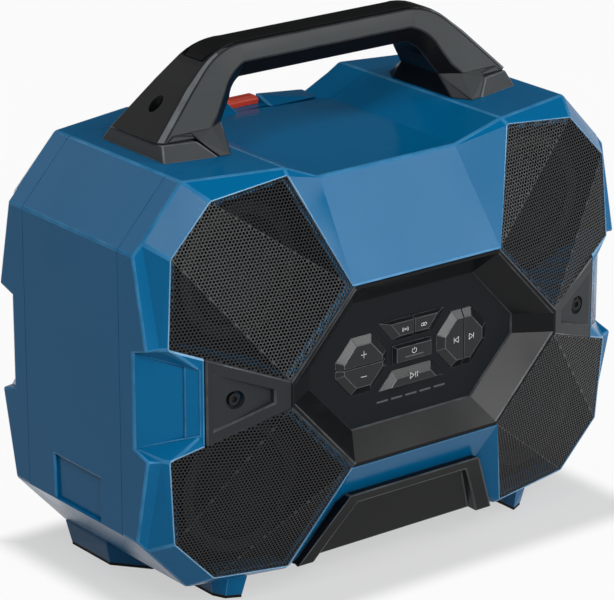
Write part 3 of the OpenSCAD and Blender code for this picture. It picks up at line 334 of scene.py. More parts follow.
# Soft over-moulded rubber: very matte, with a pebbled skin
SOFT_RUBBER = SpeckledSurface("black_soft_rubber", "#0E0F10", "#131415", 0.62, 0.9, 0.05, specular=0.15)
# The seals' rubber is dyed like the shells, so that a seam shows as a faint line
SEAL_RUBBER = SpeckledSurface("blue_soft_rubber", "#07497A", "#064370", 0.6, 0.9, 0.05, specular=0.2)
# Powder coat on punched steel: a faint orange peel
POWDER_COAT = SpeckledSurface("black_powder_coat", "#2B2C2E", "#242527", 0.3, 0.5, 0.01, specular=0.25)
# Matte black painted into the driver pockets as painted shade, so that little shows behind the grilles
POCKET_SHADE = SpeckledSurface("pocket_painted_shade", "#0D0F11", "#0A0C0E", 0.7, 0.9, 0.03,
                               specular=0.1)
DRIVER_PAINT = SpeckledSurface("black_stamped_steel", "#1A1B1C", "#151617", 0.5, 0.6, 0.02)
FERRITE = SpeckledSurface("sintered_ferrite", "#4A4B4D", "#3E3F41", 0.6, 0.8, 0.04)
# Pressed paper pulp: fibres about 1 mm long
PAPER_PULP = SpeckledSurface("pressed_paper_cone", "#26282A", "#1F2123", 0.7, 1.1, 0.06, specular=0.15)
CLEAR_LENS = SpeckledSurface("smoked_acrylic_lens", "#4C5052", "#44484A", 0.25, 0.6, 0.005, specular=0.5)
WHITE_INK = SpeckledSurface("white_pad_print", "#D6D9DB", "#CACDD0", 0.5, 0.4, 0.01)
# Zinc plate on steel screws: bright, slightly clouded
ZINC_STEEL = SpeckledSurface("zinc_plated_steel", "#B4B6B8", "#9C9EA1", 0.36, 0.5, 0.01, metallic=1.0)
BLACK_STEEL = SpeckledSurface("black_oxide_steel", "#2A2B2D", "#222325", 0.4, 0.5, 0.01, metallic=0.8)
# Extruded aluminium: die lines run along Y
EXTRUDED_ALUMINIUM = SpeckledSurface("extruded_aluminium", "#C9CBCE", "#B9BBBE", 0.34, 0.4, 0.01,
                                     metallic=1.0, stretch=(1.0, 0.03, 1.0))
GREEN_BOARD = SolderMask("green_solder_mask", "#14502F", "#2E7A4B")


# Making and dressing pieces


class Coat(IntEnum):
    """Places in a moulding's list of materials."""

    BODY = 0
    # The roundings' finish: a painted highlight, with a little wear
    WORN = 1
    SECOND = 2
    THIRD = 3


def make_piece(name: str, points: Iterable[Sequence[float]], faces: Iterable[Sequence[int]], finish: Finish,
               body: str) -> bpy.types.Object:
    """Makes a mesh piece, paints it and rides it on a body.

    Args:
        name: The piece's name.
        points: Its corners in metres, in the row frame.
        faces: Its faces as corner numbers.
        finish: Its finish.
        body: The CAD body that it moves with.

    Returns:
        The new object.
    """
    mesh = bpy.data.meshes.new(name)
    mesh.from_pydata([tuple(p) for p in points], [], [tuple(f) for f in faces])
    mesh.validate()
    mesh.materials.append(finish.material())
    piece = bpy.data.objects.new(name, mesh)
    bpy.context.scene.collection.objects.link(piece)
    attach(piece, body)
    LOG.info("made %s with %d faces, on %s", name, len(mesh.polygons), body)
    return piece


def dress(node: str, finish: Finish, edge_mm: float = 0.0) -> None:
    """Gives a CAD node its finish and moulded, rounded edges.

    Args:
        node: The node's name.
        finish: Its finish.
        edge_mm: Width of the rounding on its edges, or 0 for none.
    """
    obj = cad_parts[node]
    obj.data.materials.clear()
    obj.data.materials.append(finish.material())
    # The rounded edges take the plastic's edge finish, a painted highlight with a little wear, which the
    # bevel below puts on them
    if edge_mm and isinstance(finish, MouldedPlastic):
        obj.data.materials.append(finish.worn().material())
    if edge_mm:
        weld = obj.modifiers.new("joined_corners", "WELD")
        weld.merge_threshold = WELD_MM * MM
        merge = obj.modifiers.new("whole_faces", "DECIMATE")
        merge.decimate_type = "DISSOLVE"
        merge.angle_limit = math.radians(FLAT_DEG)
        edge = obj.modifiers.new("moulded_edges", "BEVEL")
        edge.width = edge_mm * MM
        edge.segments = DRESS_STEPS
        edge.limit_method = "ANGLE"
        edge.angle_limit = math.radians(EDGE_DEG)
        edge.use_clamp_overlap = False
        edge.material = len(obj.data.materials) - 1
    LOG.info("dressed %s in %s", node, finish.name)


def too_near(edge: bmesh.types.BMEdge, others: set[bmesh.types.BMEdge], room: float) -> bool:
    """Tells whether an edge is too short, or too near to another one across a face, to be rounded.

    Args:
        edge: The edge.
        others: The edges that are to be rounded.
        room: Least distance in metres.

    Returns:
        Whether the edge has to stay sharp.
    """
    if edge.calc_length() < room:
        return True
    start, end = (v.co for v in edge.verts)
    spots = [start.lerp(end, share) for share in ROOM_SHARES]
    for face in edge.link_faces:
        for other in face.edges:
            if other not in others or any(v in edge.verts for v in other.verts):
                continue
            p, q = (v.co for v in other.verts)
            for spot in spots:
                along = geometry.intersect_point_line(spot, p, q)[1]
                if (p.lerp(q, min(1.0, max(0.0, along))) - spot).length < room:
                    return True
    return False


def mould(node: str, finish: MouldedPlastic, edge_mm: float, seams_mm: Sequence[float] = (),
          toward: float = 0.0, steps: int = 3,
          nudges: Sequence[tuple[Vector, Vector]] = ()) -> bpy.types.Object:
    """Makes a moulding whose outer edges are rounded and painted with a highlight and a little wear, in
    place of its CAD node.

    Args:
        node: The node's name.
        finish: Its finish.
        edge_mm: Width of the rounding.
        seams_mm: Places along Y of seam faces, whose edges stay sharp.
        toward: Sign along Y of the side that is seen, and edges that face the other way stay sharp.
        steps: Faces across each rounding.
        nudges: Corners that shift a little to make their facets flat, each with its shift.

    Returns:
        The moulding.
    """
    form = bmesh.new()
    form.from_mesh(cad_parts[node].data)
    bmesh.ops.remove_doubles(form, verts=form.verts, dist=WELD_MM * MM)
    for spot, shift in nudges:
        for vert in form.verts:
            if (vert.co - spot).length < WELD_MM * MM:
                vert.co += shift
    bmesh.ops.dissolve_limit(form, angle_limit=math.radians(FLAT_DEG), verts=form.verts, edges=form.edges)
    form.normal_update()
    tree = BVHTree.FromBMesh(form)
    chosen = set()
    for edge in form.edges:
        if len(edge.link_faces) != 2 or not edge.is_convex:
            continue
        if edge.calc_face_angle() < math.radians(EDGE_DEG):
            continue
        if any(all(abs(v.co.y - y * MM) < SEAM_MM * MM for v in edge.verts) for y in seams_mm):
            continue
        out = (edge.link_faces[0].normal + edge.link_faces[1].normal).normalized()
        if out.y * toward < -TURNED_AWAY:
            continue
        start = (edge.verts[0].co + edge.verts[1].co) / 2 + out * SEAM_MM * MM
        if tree.ray_cast(start, out)[0] is None:
            chosen.add(edge)
    rounded = [e for e in chosen if not too_near(e, chosen, ROOM_WIDTHS * edge_mm * MM)]
    # The roundings take the edge finish: a painted highlight, with a little wear
    bmesh.ops.bevel(form, geom=rounded, offset=edge_mm * MM, offset_type="OFFSET", segments=steps,
                    profile=0.5, affect="EDGES", clamp_overlap=False, material=Coat.WORN)
    bmesh.ops.triangulate(form, faces=[f for f in form.faces if len(f.verts) > 4])
    for edge in form.edges:
        edge.smooth = len(edge.link_faces) == 2 and edge.calc_face_angle() < math.radians(CREASE_DEG)
    for face in form.faces:
        bends = [e for e in face.edges if e.smooth and not any(f.material_index for f in e.link_faces)
                 and BORE_DEG < math.degrees(e.calc_face_angle()) < EDGE_DEG]
        face.smooth = face.material_index == Coat.WORN or len(bends) > 1
    mesh = bpy.data.meshes.new(f"{node}_skin")
    form.to_mesh(mesh)
    form.free()
    for coat in (finish, finish.worn()):
        mesh.materials.append(coat.material())
    piece = bpy.data.objects.new(f"{node}_skin", mesh)
    bpy.context.scene.collection.objects.link(piece)
    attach(piece, "base")
    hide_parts(node)
    LOG.info("moulded %s with %d rounded edges of %d", node, len(rounded), len(chosen))
    return piece


def ribbon(line: Sequence[Point2], width: float, closed: bool = False) -> tuple[list[Point2], list[Point2]]:
    """Offsets a line to both sides.

    Args:
        line: The points of the line.
        width: Width of the ribbon.
        closed: Whether the line returns to its start.

    Returns:
        The points on the left side and those on the right side.
    """
    count = len(line)
    left, right = [], []
    for i, (x, z) in enumerate(line):
        before = line[i - 1] if closed or i else line[i]
        after = line[(i + 1) % count] if closed or i < count - 1 else line[i]
        here = Vector((x, z))
        ahead = Vector(after) - here if after != (x, z) else here - Vector(before)
        behind = here - Vector(before) if before != (x, z) else ahead
        ahead.normalize()
        behind.normalize()
        lean = (ahead + behind).normalized()
        reach = width / 2 / max(MITRE_COS, lean.dot(ahead))
        left.append((x - lean.y * reach, z + lean.x * reach))
        right.append((x + lean.y * reach, z - lean.x * reach))
    return left, right


def arc(x: float, z: float, radius: float, start: float, end: float, steps: int = 14) -> list[Point2]:
    """Points on an arc between two angles in degrees."""
    turns = [math.radians(start + (end - start) * i / steps) for i in range(steps + 1)]
    return [(x + radius * math.cos(t), z + radius * math.sin(t)) for t in turns]


class Corner(Enum):
    """The four corners of the front, with their signs along X and Z."""

    UPPER_LEFT = (-1, 1)
    UPPER_RIGHT = (1, 1)
    LOWER_LEFT = (-1, -1)
    LOWER_RIGHT = (1, -1)

    @property
    def label(self) -> str:
        """The corner's name as the nodes spell it."""
        return self.name.lower()


# Sub-assemblies


@dataclass
class Shells:
    """The three blue shells, the seals in their seams, the feet and the kick plate.

    A band along a rim is measured by the cross product of the rim's edge and a spot beside it, in square
    millimetres.
    """

    edge_mm: float = 1.4
    foot_edge_mm: float = 0.4
    kick_edge_mm: float = 1.0
    seams: Sequence[float] = (-37.2, -36.8, 64.8, 65.2)
    guard_corner: Point3 = (179.5, 48.7, 98.5)
    flush_mm: float = 0.8
    inner_band: float = 40.0
    rim_band: float = 80.0
    looks_up: float = 0.8

    def build(self) -> None:
        """Makes the shells with rounded edges."""
        ahead = Vector((0, -self.flush_mm * MM, 0))
        x, depth, height = self.guard_corner
        nudges = [(place(x * c.value[0], depth, height * c.value[1]), ahead) for c in Corner]
        front = mould("front_shell", BLUE_ABS, self.edge_mm, self.seams, toward=-1.0,
                      nudges=nudges)
        mould("main_housing", BLUE_ABS, self.edge_mm, self.seams)
        mould("rear_shell", BLUE_ABS, self.edge_mm, self.seams, toward=1.0)
        self.paint_pocket_shade(front)

    def paint_pocket_shade(self, front: bpy.types.Object) -> None:
        """Paints shade into the driver pockets, apart from the walls that look up, and a highlight on the
        rims round them.

        Args:
            front: The front shell's moulding.
        """
        for finish in (POCKET_SHADE, BLUE_RIM_HIGHLIGHT):
            front.data.materials.append(finish.material())
        rim = [Vector((x, z)) for x, _, z in Grilles().corners.values()]
        for face in front.data.polygons:
            spot = Vector((abs(face.center.x) / MM, abs(face.center.z / MM - MIDDLE_Z)))
            sides = [(q - p).cross(spot - p) for p, q in zip(rim, rim[1:] + rim[:1])]
            body = face.material_index == Coat.BODY
            worn = face.material_index == Coat.WORN
            # Pocket walls that don't look up are painted black as painted shade
            if body and max(sides) < -self.inner_band and face.normal.z < self.looks_up:
                face.material_index = Coat.SECOND
            # Roundings along the rims get the very pale painted highlight
            elif worn and abs(max(sides)) < self.rim_band:
                face.material_index = Coat.THIRD

    def dress(self) -> None:
        """Paints the feet, the seals, the pads and the kick plate."""
        dress("feet", BLUE_ABS, self.foot_edge_mm)
        for node in ("front_seal", "rear_seal"):
            dress(node, SEAL_RUBBER)
        dress("foot_pads", SOFT_RUBBER)
        dress("kick_plate", BLACK_NYLON, self.kick_edge_mm)


@dataclass
class Grilles:
    """Four sheets of punched steel, each folded on two lines over a driver.

    The corners are those of the upper right opening, as width, depth and height in millimetres.
    """

    corners: dict[str, Point3] = field(default_factory=lambda: {
        "a": (86.7, 28.0, 126.5), "b": (141.0, 30.5, 120.5), "c": (170.0, 30.5, 90.5),
        "d": (173.7, 28.8, 35.8), "f": (105.3, 0.0, 9.0), "g": (58.2, 0.0, 58.5)})
    middle: Point3 = (114.1, 15.25, 69.6)
    edge_gap: float = 0.1
    half_size: float = 43.0
    set_back: float = 1.2
    sheet_t: float = 0.5
    pitch: float = 2.3
    hole: float = 1.9
    hole_sides: int = 6
    # Metal left between a hole and its facet's edge, and the least reach of a hole's middle from that edge
    margin: float = 0.12
    least: float = 0.15
    # Points that are the same to this fineness are joined, in the flat sheet and then over its folds
    join_tolerance: float = 1e-6
    steps_per_mm: int = 1000

    def corner(self, name: str) -> Vector:
        """Finds a corner of the upper right sheet, a little inside its opening.

        Args:
            name: The corner's letter.

        Returns:
            Its width, depth and height.
        """
        centre = Vector(self.middle)
        shrink = self.edge_gap / self.half_size
        point = centre + (Vector(self.corners[name]) - centre) * (1 - shrink)
        point.y += self.set_back
        return point

    def unfold(self) -> dict[str, Vector]:
        """Lays the folded sheet flat.

        Returns:
            The flat place of each corner.
        """
        b, c, f, g = (self.corner(n) for n in "bcfg")
        across = (c - b).cross(g - b).normalized()
        level = across.cross(Vector((0, 0, 1))).normalized()
        rise = across.cross(level)
        flat = {}
        for name in "bcfg":
            from_g = self.corner(name) - g
            flat[name] = Vector((from_g.dot(level), from_g.dot(rise)))
        middle = sum(flat.values(), Vector((0, 0))) / len(flat)
        for tip, start, end in (("a", "b", "g"), ("d", "c", "f")):
            p, q, r = (self.corner(n) for n in (start, end, tip))
            along = (q - p).normalized()
            run = (r - p).dot(along)
            out = ((r - p) - along * run).length
            line = (flat[end] - flat[start]).normalized()
            side = Vector((-line.y, line.x))
            if side.dot(middle - flat[start]) > 0:
                side = -side
            flat[tip] = flat[start] + line * run + side * out
        return flat

    def punch(self, outline: list[Vector]) -> list[list[Vector]]:
        """Punches a facet, with the holes at its edges cut short.

        Args:
            outline: The facet's flat corners.

        Returns:
            The corners of each hole.
        """
        middle = sum(outline, Vector((0, 0))) / len(outline)
        edges = []
        for p, q in zip(outline, outline[1:] + outline[:1]):
            normal = Vector((-(q - p).y, (q - p).x)).normalized()
            edges.append((p, normal if normal.dot(middle - p) > 0 else -normal))
        row_h = self.pitch * math.sqrt(3) / 2
        low = Vector((min(p.x for p in outline), min(p.y for p in outline)))
        high = Vector((max(p.x for p in outline), max(p.y for p in outline)))
        turns = [2 * math.pi * (k + 0.5) / self.hole_sides for k in range(self.hole_sides)]
        ring = [Vector((math.cos(t), math.sin(t))) * self.hole / 2 for t in turns]
        holes = []
        for j in range(math.floor(low.y / row_h), math.ceil(high.y / row_h) + 1):
            for i in range(math.floor(low.x / self.pitch) - 1, math.ceil(high.x / self.pitch) + 1):
                spot = Vector(((i + 0.5 * (j % 2)) * self.pitch, j * row_h))
                reach = min((spot - p).dot(n) for p, n in edges)
                if reach > self.hole / 2 + self.margin:
                    holes.append([spot + r for r in ring])
                elif reach > self.least:
                    holes.append(self.clip([spot + r for r in ring], edges))
        return holes

    def clip(self, hole: list[Vector], edges: list[tuple[Vector, Vector]]) -> list[Vector]:
        """Cuts a hole short where it comes too near to its facet's edges.

        Args:
            hole: The hole's corners.
            edges: A point on each edge and the edge's inward normal.

        Returns:
            The corners of what is left.
        """
        for p, normal in edges:
            kept = []
            for a, b in zip(hole, hole[1:] + hole[:1]):
                da, db = ((v - p).dot(normal) - self.margin for v in (a, b))
                if da >= 0:
                    kept.append(a)
                if (da > 0) != (db > 0) and da != db:
                    kept.append(a.lerp(b, da / (da - db)))
            hole = [v for i, v in enumerate(kept) if (v - kept[i - 1]).length > self.margin / 4]
        return hole

    def sheet(self) -> tuple[list[Vector], list[tuple[int, int, int]]]:
        """Builds the front skin of the upper right sheet.

        Returns:
            Its points as width, depth and height, and its triangles.
        """
        flat = self.unfold()
        points: list[Vector] = []
        faces: list[tuple[int, int, int]] = []
        known: dict[tuple[int, int, int], int] = {}
        for names in ("abg", "bcfg", "cdf"):
            outline = [flat[n] for n in names]
            coords = list(outline)
            owner = [-1] * len(names)
            edges = [(i, (i + 1) % len(names)) for i in range(len(names))]
            for number, hole in enumerate(self.punch(outline)):
                first = len(coords)
                coords += hole
                owner += [number] * len(hole)
                edges += [(first + k, first + (k + 1) % len(hole)) for k in range(len(hole))]
            made, _, tris, origins, *_ = geometry.delaunay_2d_cdt(coords, edges, [], 1,
                                                                  self.join_tolerance)
            rings = [owner[min(o)] for o in origins]
            tris = [t for t in tris if rings[t[0]] < 0 or len({rings[i] for i in t}) > 1]
            parts = [names[0] + p + q for p, q in zip(names[1:], names[2:])]
            numbers = []
            for p in made:
                solid = self.fold(p, parts, flat)
                key = tuple(round(v * self.steps_per_mm) for v in solid)
                if key not in known:
                    known[key] = len(points)
                    points.append(solid)
                numbers.append(known[key])
            faces += [tuple(numbers[i] for i in t) for t in tris]
        return points, faces

    def fold(self, p: Vector, parts: list[str], flat: dict[str, Vector]) -> Vector:
        """Carries a flat point onto the folded sheet.

        Args:
            p: The flat point.
            parts: The triangles of its facet, as corner names.
            flat: The flat place of each corner.

        Returns:
            The point as width, depth and height.
        """
        best = None
        for names in parts:
            a, b, c = (flat[n] for n in names)
            area = (b - a).cross(c - a)
            u = (b - p).cross(c - p) / area
            v = (c - p).cross(a - p) / area
            shares = (u, v, 1 - u - v)
            if best is None or min(shares) > min(best[0]):
                best = (shares, names)
        shares, names = best
        return sum((self.corner(n) * s for n, s in zip(names, shares)), Vector((0, 0, 0)))

    def build(self) -> None:
        """Makes the four sheets in place of their plain solids."""
        skin, faces = self.sheet()
        count = len(skin)
        uses: dict[tuple[int, int], int] = {}
        for face in faces:
            for edge in zip(face, face[1:] + face[:1]):
                uses[edge] = uses.get(edge, 0) + 1
        walls = [(p, q, q + count, p + count) for p, q in uses if (q, p) not in uses]
        back = [tuple(i + count for i in reversed(f)) for f in faces]
        for corner in Corner:
            sx, sz = corner.value
            points = [place(p.x * sx, p.y + d, p.z * sz) for d in (0.0, self.sheet_t) for p in skin]
            solid = list(faces) + back + [tuple(reversed(w)) for w in walls]
            if sx * sz > 0:
                solid = [tuple(reversed(f)) for f in solid]
            name = f"grille_sheet_{corner.label}"
            piece = make_piece(name, points, solid, POWDER_COAT, "base")
            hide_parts(f"grille_{corner.label}")


@dataclass
class Drivers:
    """The four drivers behind the grilles."""

    edge_mm: float = 0.4

    def dress(self) -> None:
        """Paints the frames, magnets, cones and surrounds."""
        for corner in Corner:
            dress(f"driver_frame_{corner.label}", DRIVER_PAINT, self.edge_mm)
            dress(f"magnet_{corner.label}", FERRITE, self.edge_mm)
            dress(f"cone_{corner.label}", PAPER_PULP)
            dress(f"surround_{corner.label}", SOFT_RUBBER)
        dress("driver_screws", BLACK_STEEL)


class KeyMark(Enum):
    """The sign printed on each key, with the key's node."""

    PLUS = "volume_up_key"
    MINUS = "volume_down_key"
    WAVES = "wireless_key"
    LINK = "link_key"
    POWER = "power_key"
    PLAY = "play_key"
    PREVIOUS = "previous_key"
    NEXT = "next_key"


@dataclass
class KeyPanel:
    """The sunken panel: frame, face, eight keys, their printed signs and the charge lights."""

    edge_mm: float = 1.0
    face_edge_mm: float = 0.25
    key_edge_mm: float = 0.3
    # The cheeks are the frame's faces further than this from the middle
    cheek_from: float = 107.0
    # The ink stands on the keys' tops and sinks in a little, so that no gap is left under it
    top_depth: float = 13.0
    ink_t: float = 0.1
    ink_sink: float = 0.03
    stroke: float = 0.38
    # Width, height and place along Z of the light bar on the power key
    light_bar: Point3 = (14.4, 0.9, -2.0)
    spots: dict[KeyMark, Point2] = field(default_factory=lambda: {
        KeyMark.PLUS: (-40.0, 7.2), KeyMark.MINUS: (-40.0, -7.2), KeyMark.WAVES: (-7.4, 16.5),
        KeyMark.LINK: (7.4, 16.5), KeyMark.POWER: (0.0, 1.0), KeyMark.PLAY: (0.0, -15.2),
        KeyMark.PREVIOUS: (34.0, 0.0), KeyMark.NEXT: (46.0, 0.0)})

    def dress(self) -> None:
        """Paints the face, the keys, the lights and the board."""
        dress("key_plate", KEY_FACE, self.face_edge_mm)
        for mark in KeyMark:
            dress(mark.value, KEY_SILICONE, self.key_edge_mm)
        dress("battery_lights", CLEAR_LENS)
        dress("key_switches", BLACK_NYLON)
        dress("control_board", GREEN_BOARD)

    def lines(self, mark: KeyMark) -> list[tuple[list[Point2], bool]]:
        """Lines of a sign round its middle.

        Args:
            mark: The sign.

        Returns:
            Each line's points and whether it is closed.
        """
        arm = 2.3
        tall = 1.9
        triangle = [(-1.6, tall), (1.5, 0.0), (-1.6, -tall)]
        if mark is KeyMark.PLUS:
            return [([(-arm, 0), (arm, 0)], False), ([(0, -arm), (0, arm)], False)]
        if mark is KeyMark.MINUS:
            return [([(-arm, 0), (arm, 0)], False)]
        if mark is KeyMark.POWER:
            ring = arc(0, 0, radius=1.7, start=125, end=415)
            return [(ring, False), ([(0, 0.4), (0, 2.2)], False)]
        if mark is KeyMark.LINK:
            bend = 0.85
            link = arc(1.3, 0, bend, -90, 90, 8) + arc(0.5, 0, bend, 90, 270, 8)
            return [(link, True), ([(-x, -z) for x, z in link], True)]
        if mark is KeyMark.WAVES:
            spread = 38
            waves = [arc(0, 0, radius, turn - spread, turn + spread, 8)
                     for radius in (1.2, 2.2) for turn in (0, 180)]
            dot = arc(0, 0, radius=0.3, start=0, end=324, steps=9)
            return [(wave, False) for wave in waves] + [(dot, True)]
        if mark is KeyMark.PLAY:
            shifted = [(x - 1.5, z) for x, z in triangle]
            return [(shifted, True)] + [([(x, -tall), (x, tall)], False) for x in (1.2, 2.7)]
        side = 1 if mark is KeyMark.NEXT else -1
        bar = tall * side
        return [([(x * side, z) for x, z in triangle], True), ([(bar, -tall), (bar, tall)], False)]

    def print_sign(self, mark: KeyMark) -> None:
        """Prints a sign on its key.

        Args:
            mark: The sign.
        """
        self.print_lines(f"sign_{mark.name.lower()}", self.lines(mark), self.spots[mark], self.stroke,
                         WHITE_INK, mark)

    def print_lines(self, name: str, lines: list[tuple[list[Point2], bool]], spot: Point2, stroke: float,
                    finish: Finish, mark: KeyMark) -> None:
        """Prints lines on a key.

        Args:
            name: The print's name.
            lines: Each line's points and whether it is closed.
            spot: The middle of the lines.
            stroke: Width of the lines.
            finish: What they are printed in.
            mark: The sign of the key that carries them.
        """
        x0, z0 = spot
        points: list[Vector] = []
        faces: list[tuple[int, ...]] = []
        for line, closed in lines:
            left, right = ribbon(line, stroke, closed)
            first, count = len(points), len(line)
            for depth in (self.top_depth - self.ink_t, self.top_depth + self.ink_sink):
                for side in (left, right):
                    points += [place(x + x0, depth, z + z0) for x, z in side]
            rings = [first, first + count, first + 3 * count, first + 2 * count]
            for i in range(count if closed else count - 1):
                j = (i + 1) % count
                for a, b in zip(rings, rings[1:] + rings[:1]):
                    faces.append((a + i, a + j, b + j, b + i))
            if not closed:
                faces.append(tuple(rings))
                faces.append(tuple(r + count - 1 for r in reversed(rings)))
        make_piece(name, points, faces, finish, f"{mark.value}_body")

    def build(self) -> None:
        """Makes the frame and prints every sign."""
        panel = mould("panel_frame", BLACK_NYLON, self.edge_mm, toward=-1.0, steps=1)
        panel.data.materials.append(CHEEK_SHEEN_NYLON.material())
        # The cheeks get a paler colour, a painted sheen
        for face in panel.data.polygons:
            if abs(face.center.x) > self.cheek_from * MM and face.material_index == Coat.BODY:
                face.material_index = Coat.SECOND
        for mark in KeyMark:
            self.print_sign(mark)
        width, height, z = self.light_bar
        bar = [([(-width / 2, 0), (width / 2, 0)], False)]
        self.print_lines("power_light_bar", bar, (0.0, z), height, CLEAR_LENS, KeyMark.POWER)


@dataclass
class Handle:
    """The fixed carrying handle with its soft insert and feet.

    A face of the frame is told by its normal: front faces look forward and a little up, and the chamfers
    beside the legs' outer faces also look outward.
    """

    edge_mm: float = 0.7
    insert_edge_mm: float = 0.4
    foot_edge_mm: float = 0.8
    screw_edge_mm: float = 0.3
    front_turn: float = -0.45
    front_rise: float = 0.1
    chamfer_turn: float = 0.25

    def build(self) -> None:
        """Makes the frame, whose front faces are painted paler as painted light and whose outer chamfers
        carry a pale painted highlight.
        """
        piece = mould("handle_frame", HANDLE_NYLON, self.edge_mm, steps=2)
        piece.data.materials.append(HANDLE_FRONT_LIT.material())
        piece.data.materials.append(HANDLE_FRONT_LIT.worn().material())
        # Faces that look forward and a little up get painted light: the front faces paler, the outer
        # chamfers paler still as a painted highlight
        for face in piece.data.polygons:
            if face.material_index != Coat.BODY:
                continue
            if face.normal.y > self.front_turn or face.normal.z < self.front_rise:
                continue
            outward = face.normal.x * math.copysign(1, face.center.x)
            face.material_index = Coat.THIRD if outward > self.chamfer_turn else Coat.SECOND

    def dress(self) -> None:
        """Paints the insert, the feet and the screws and rounds their edges."""
        dress("handle_insert", SOFT_RUBBER, self.insert_edge_mm)
        for side in ("left", "right"):
            dress(f"handle_foot_{side}", GRAY_NYLON, self.foot_edge_mm)
        dress("handle_screws", BLACK_STEEL, self.screw_edge_mm)


@dataclass
class Battery:
    """The slide-in battery pack, its release button, its bay and its terminal."""

    edge_mm: float = 1.0
    button_edge_mm: float = 0.8
    bay_edge_mm: float = 0.4

    def dress(self) -> None:
        """Paints the pack and what holds it."""
        dress("battery_pack", BLACK_NYLON, self.edge_mm)
        dress("battery_release", RED_ABS, self.button_edge_mm)
        dress("battery_bay", BLACK_NYLON, self.bay_edge_mm)
        dress("battery_terminal", GREEN_BOARD)


@dataclass
class Inside:
    """The amplifier on its posts and the screws that hold the shells together."""

    edge_mm: float = 0.3

    def dress(self) -> None:
        """Paints the board, the heat sink and the screws."""
        dress("amplifier_board", GREEN_BOARD)
        dress("heat_sink", EXTRUDED_ALUMINIUM, self.edge_mm)
        dress("amplifier_screws", ZINC_STEEL)
        dress("cheek_screws", BLACK_STEEL, self.edge_mm)
        dress("tie_screws", BLACK_STEEL, self.edge_mm)


@dataclass(frozen=True)
class Softbox:
    """A square lamp that faces the object, with its place and side in metres."""

    name: str
    spot: Point3
    size: float
    watts: float


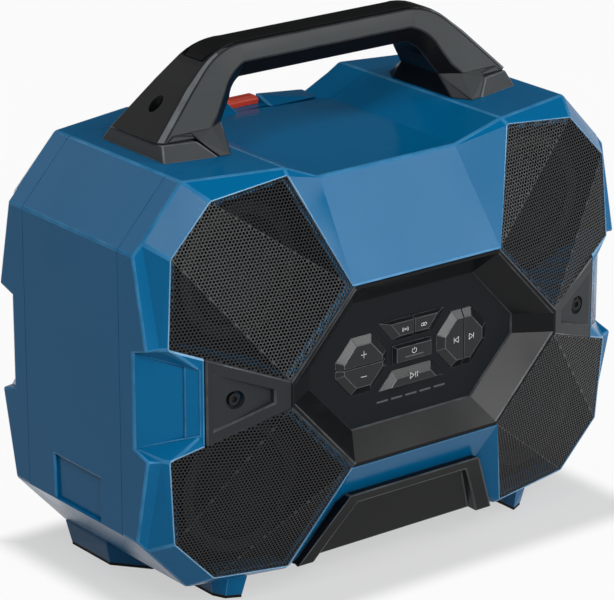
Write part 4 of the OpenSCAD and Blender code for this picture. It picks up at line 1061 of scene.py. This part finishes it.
@dataclass
class Studio:
    """White floor, soft lamps and the camera, with sizes in metres.

    The floor's share of plain white grows from under the object to just outside its footprint, which paints
    a soft shadow round the object.
    """

    eye: Point3 = (-1.258, -1.606, 0.885)
    turn: Point3 = (70.31, 0.0, -37.72)
    lens_mm: float = 199.6
    sensor_mm: float = 36.0
    aim: Point3 = (0.0, 0.0, 0.15)
    ambient: float = 0.08
    paper: str = "#B0B0B0"
    floor_m: float = 24.0
    floor_drop_m: float = 0.0003
    footprint: Point2 = (0.17, 0.095)
    shadow_m: float = 0.025
    white_share: Point2 = (0.55, 0.95)
    softboxes: Sequence[Softbox] = (
        Softbox("right_softbox", (1.15, -1.13, 1.3), size=0.65, watts=10.5),
        Softbox("brow_softbox", (-0.52, -1.6, 1.55), size=0.45, watts=6.5),
        Softbox("front_softbox", (-0.66, -1.72, 1.21), size=0.4, watts=6.5),
        Softbox("key_softbox", (-0.25, -2.0, 0.92), size=0.4, watts=6.0),
        Softbox("left_softbox", (-1.275, -0.77, 1.73), size=0.5, watts=9.0),
        Softbox("rear_softbox", (-0.75, 1.47, 1.25), size=1.0, watts=6.0),
        Softbox("low_softbox", (0.04, -1.99, 0.27), size=0.45, watts=5.5),
        Softbox("corner_softbox", (1.45, -1.42, 0.55), size=0.35, watts=4.0),
        Softbox("side_softbox", (2.0, 0.05, 0.42), size=0.4, watts=1.6))

    def build(self) -> None:
        """Makes the floor, the even light, the lamps and the camera."""
        scene = bpy.context.scene
        scene.view_settings.view_transform = "Standard"
        self.lay_floor()
        self.light_world(scene)
        for box in self.softboxes:
            self.hang_lamp(box)
        lens = bpy.data.cameras.new("photo_camera")
        lens.lens = self.lens_mm
        lens.sensor_width = self.sensor_mm
        camera = bpy.data.objects.new("photo_camera", lens)
        camera.location = self.eye
        camera.rotation_euler = [math.radians(a) for a in self.turn]
        scene.collection.objects.link(camera)
        scene.camera = camera

    def lay_floor(self) -> None:
        """Lays a pale floor that keeps the lamps' shadow faintly, with a painted shadow round the object.
        """
        half = self.floor_m / 2
        corners = [(-half, -half, 0), (half, -half, 0), (half, half, 0), (-half, half, 0)]
        mesh = bpy.data.meshes.new("studio_floor")
        mesh.from_pydata(corners, [], [(0, 1, 2, 3)])
        paper = bpy.data.materials.new("white_studio_paper")
        paper.use_nodes = True
        tree = paper.node_tree
        tree.nodes.remove(tree.nodes["Principled BSDF"])
        matte = add_node(tree, "ShaderNodeBsdfDiffuse", {"Color": linear(self.paper)})
        white = add_node(tree, "ShaderNodeEmission", {"Color": (1, 1, 1, 1), "Strength": 1.0})
        rays = add_node(tree, "ShaderNodeLightPath")
        seen = rays.outputs["Is Camera Ray"]
        for other in ("Is Glossy Ray", "Is Transmission Ray"):
            seen = add_node(tree, "ShaderNodeMath", {"operation": "MAXIMUM"},
                            {0: seen, 1: rays.outputs[other]}).outputs[0]
        # The paper has a painted shadow: its share of plain white is lower under the object and just round
        # it, and the object's underside shows this in its reflection
        spot = add_node(tree, "ShaderNodeSeparateXYZ", {},
                        {0: add_node(tree, "ShaderNodeNewGeometry").outputs["Position"]})
        beside = []
        for axis, reach in zip("XY", self.footprint):
            side = add_node(tree, "ShaderNodeMath", {"operation": "ABSOLUTE"}, {0: spot.outputs[axis]})
            beside.append(add_node(tree, "ShaderNodeMath", {"operation": "SUBTRACT", 1: reach},
                                   {0: side.outputs[0]}).outputs[0])
        off = add_node(tree, "ShaderNodeMath", {"operation": "MAXIMUM"}, dict(enumerate(beside)))
        least, most = self.white_share
        open_share = add_node(tree, "ShaderNodeMapRange",
                              {"interpolation_type": "SMOOTHSTEP", "From Min": 0.0,
                               "From Max": self.shadow_m, "To Min": least, "To Max": most},
                              {"Value": off.outputs[0]})
        share = add_node(tree, "ShaderNodeMath", {"operation": "MULTIPLY"},
                         {0: seen, 1: open_share.outputs["Result"]})
        mixed = add_node(tree, "ShaderNodeMixShader", {},
                         {0: share.outputs[0], 1: matte.outputs[0], 2: white.outputs[0]})
        tree.links.new(mixed.outputs[0], tree.nodes["Material Output"].inputs["Surface"])
        mesh.materials.append(paper)
        floor = bpy.data.objects.new("studio_floor", mesh)
        floor.location.z = -self.floor_drop_m
        bpy.context.scene.collection.objects.link(floor)

    def light_world(self, scene: bpy.types.Scene) -> None:
        """Makes the even light of the studio's walls.

        Args:
            scene: The scene to light.
        """
        world = bpy.data.worlds.new("gray_studio")
        world.use_nodes = True
        soft = world.node_tree.nodes["Background"]
        soft.inputs["Color"].default_value = (1, 1, 1, 1)
        soft.inputs["Strength"].default_value = self.ambient
        scene.world = world

    def hang_lamp(self, box: Softbox) -> None:
        """Hangs a softbox that the camera doesn't see.

        Args:
            box: The softbox.
        """
        lamp = bpy.data.lights.new(box.name, "AREA")
        lamp.size = box.size
        lamp.energy = box.watts
        holder = bpy.data.objects.new(box.name, lamp)
        holder.location = box.spot
        ahead = Vector(self.aim) - Vector(box.spot)
        holder.rotation_euler = ahead.to_track_quat("-Z", "Y").to_euler()
        holder.visible_camera = False
        bpy.context.scene.collection.objects.link(holder)


def main() -> None:
    """Builds and dresses each sub-assembly in order."""
    logging.basicConfig(level=logging.INFO, format="%(name)s: %(message)s")
    Studio().build()
    shells = Shells()
    shells.build()
    shells.dress()
    Grilles().build()
    Drivers().dress()
    panel = KeyPanel()
    panel.dress()
    panel.build()
    handle = Handle()
    handle.build()
    handle.dress()
    Battery().dress()
    Inside().dress()


if __name__ == "__main__":
    main()
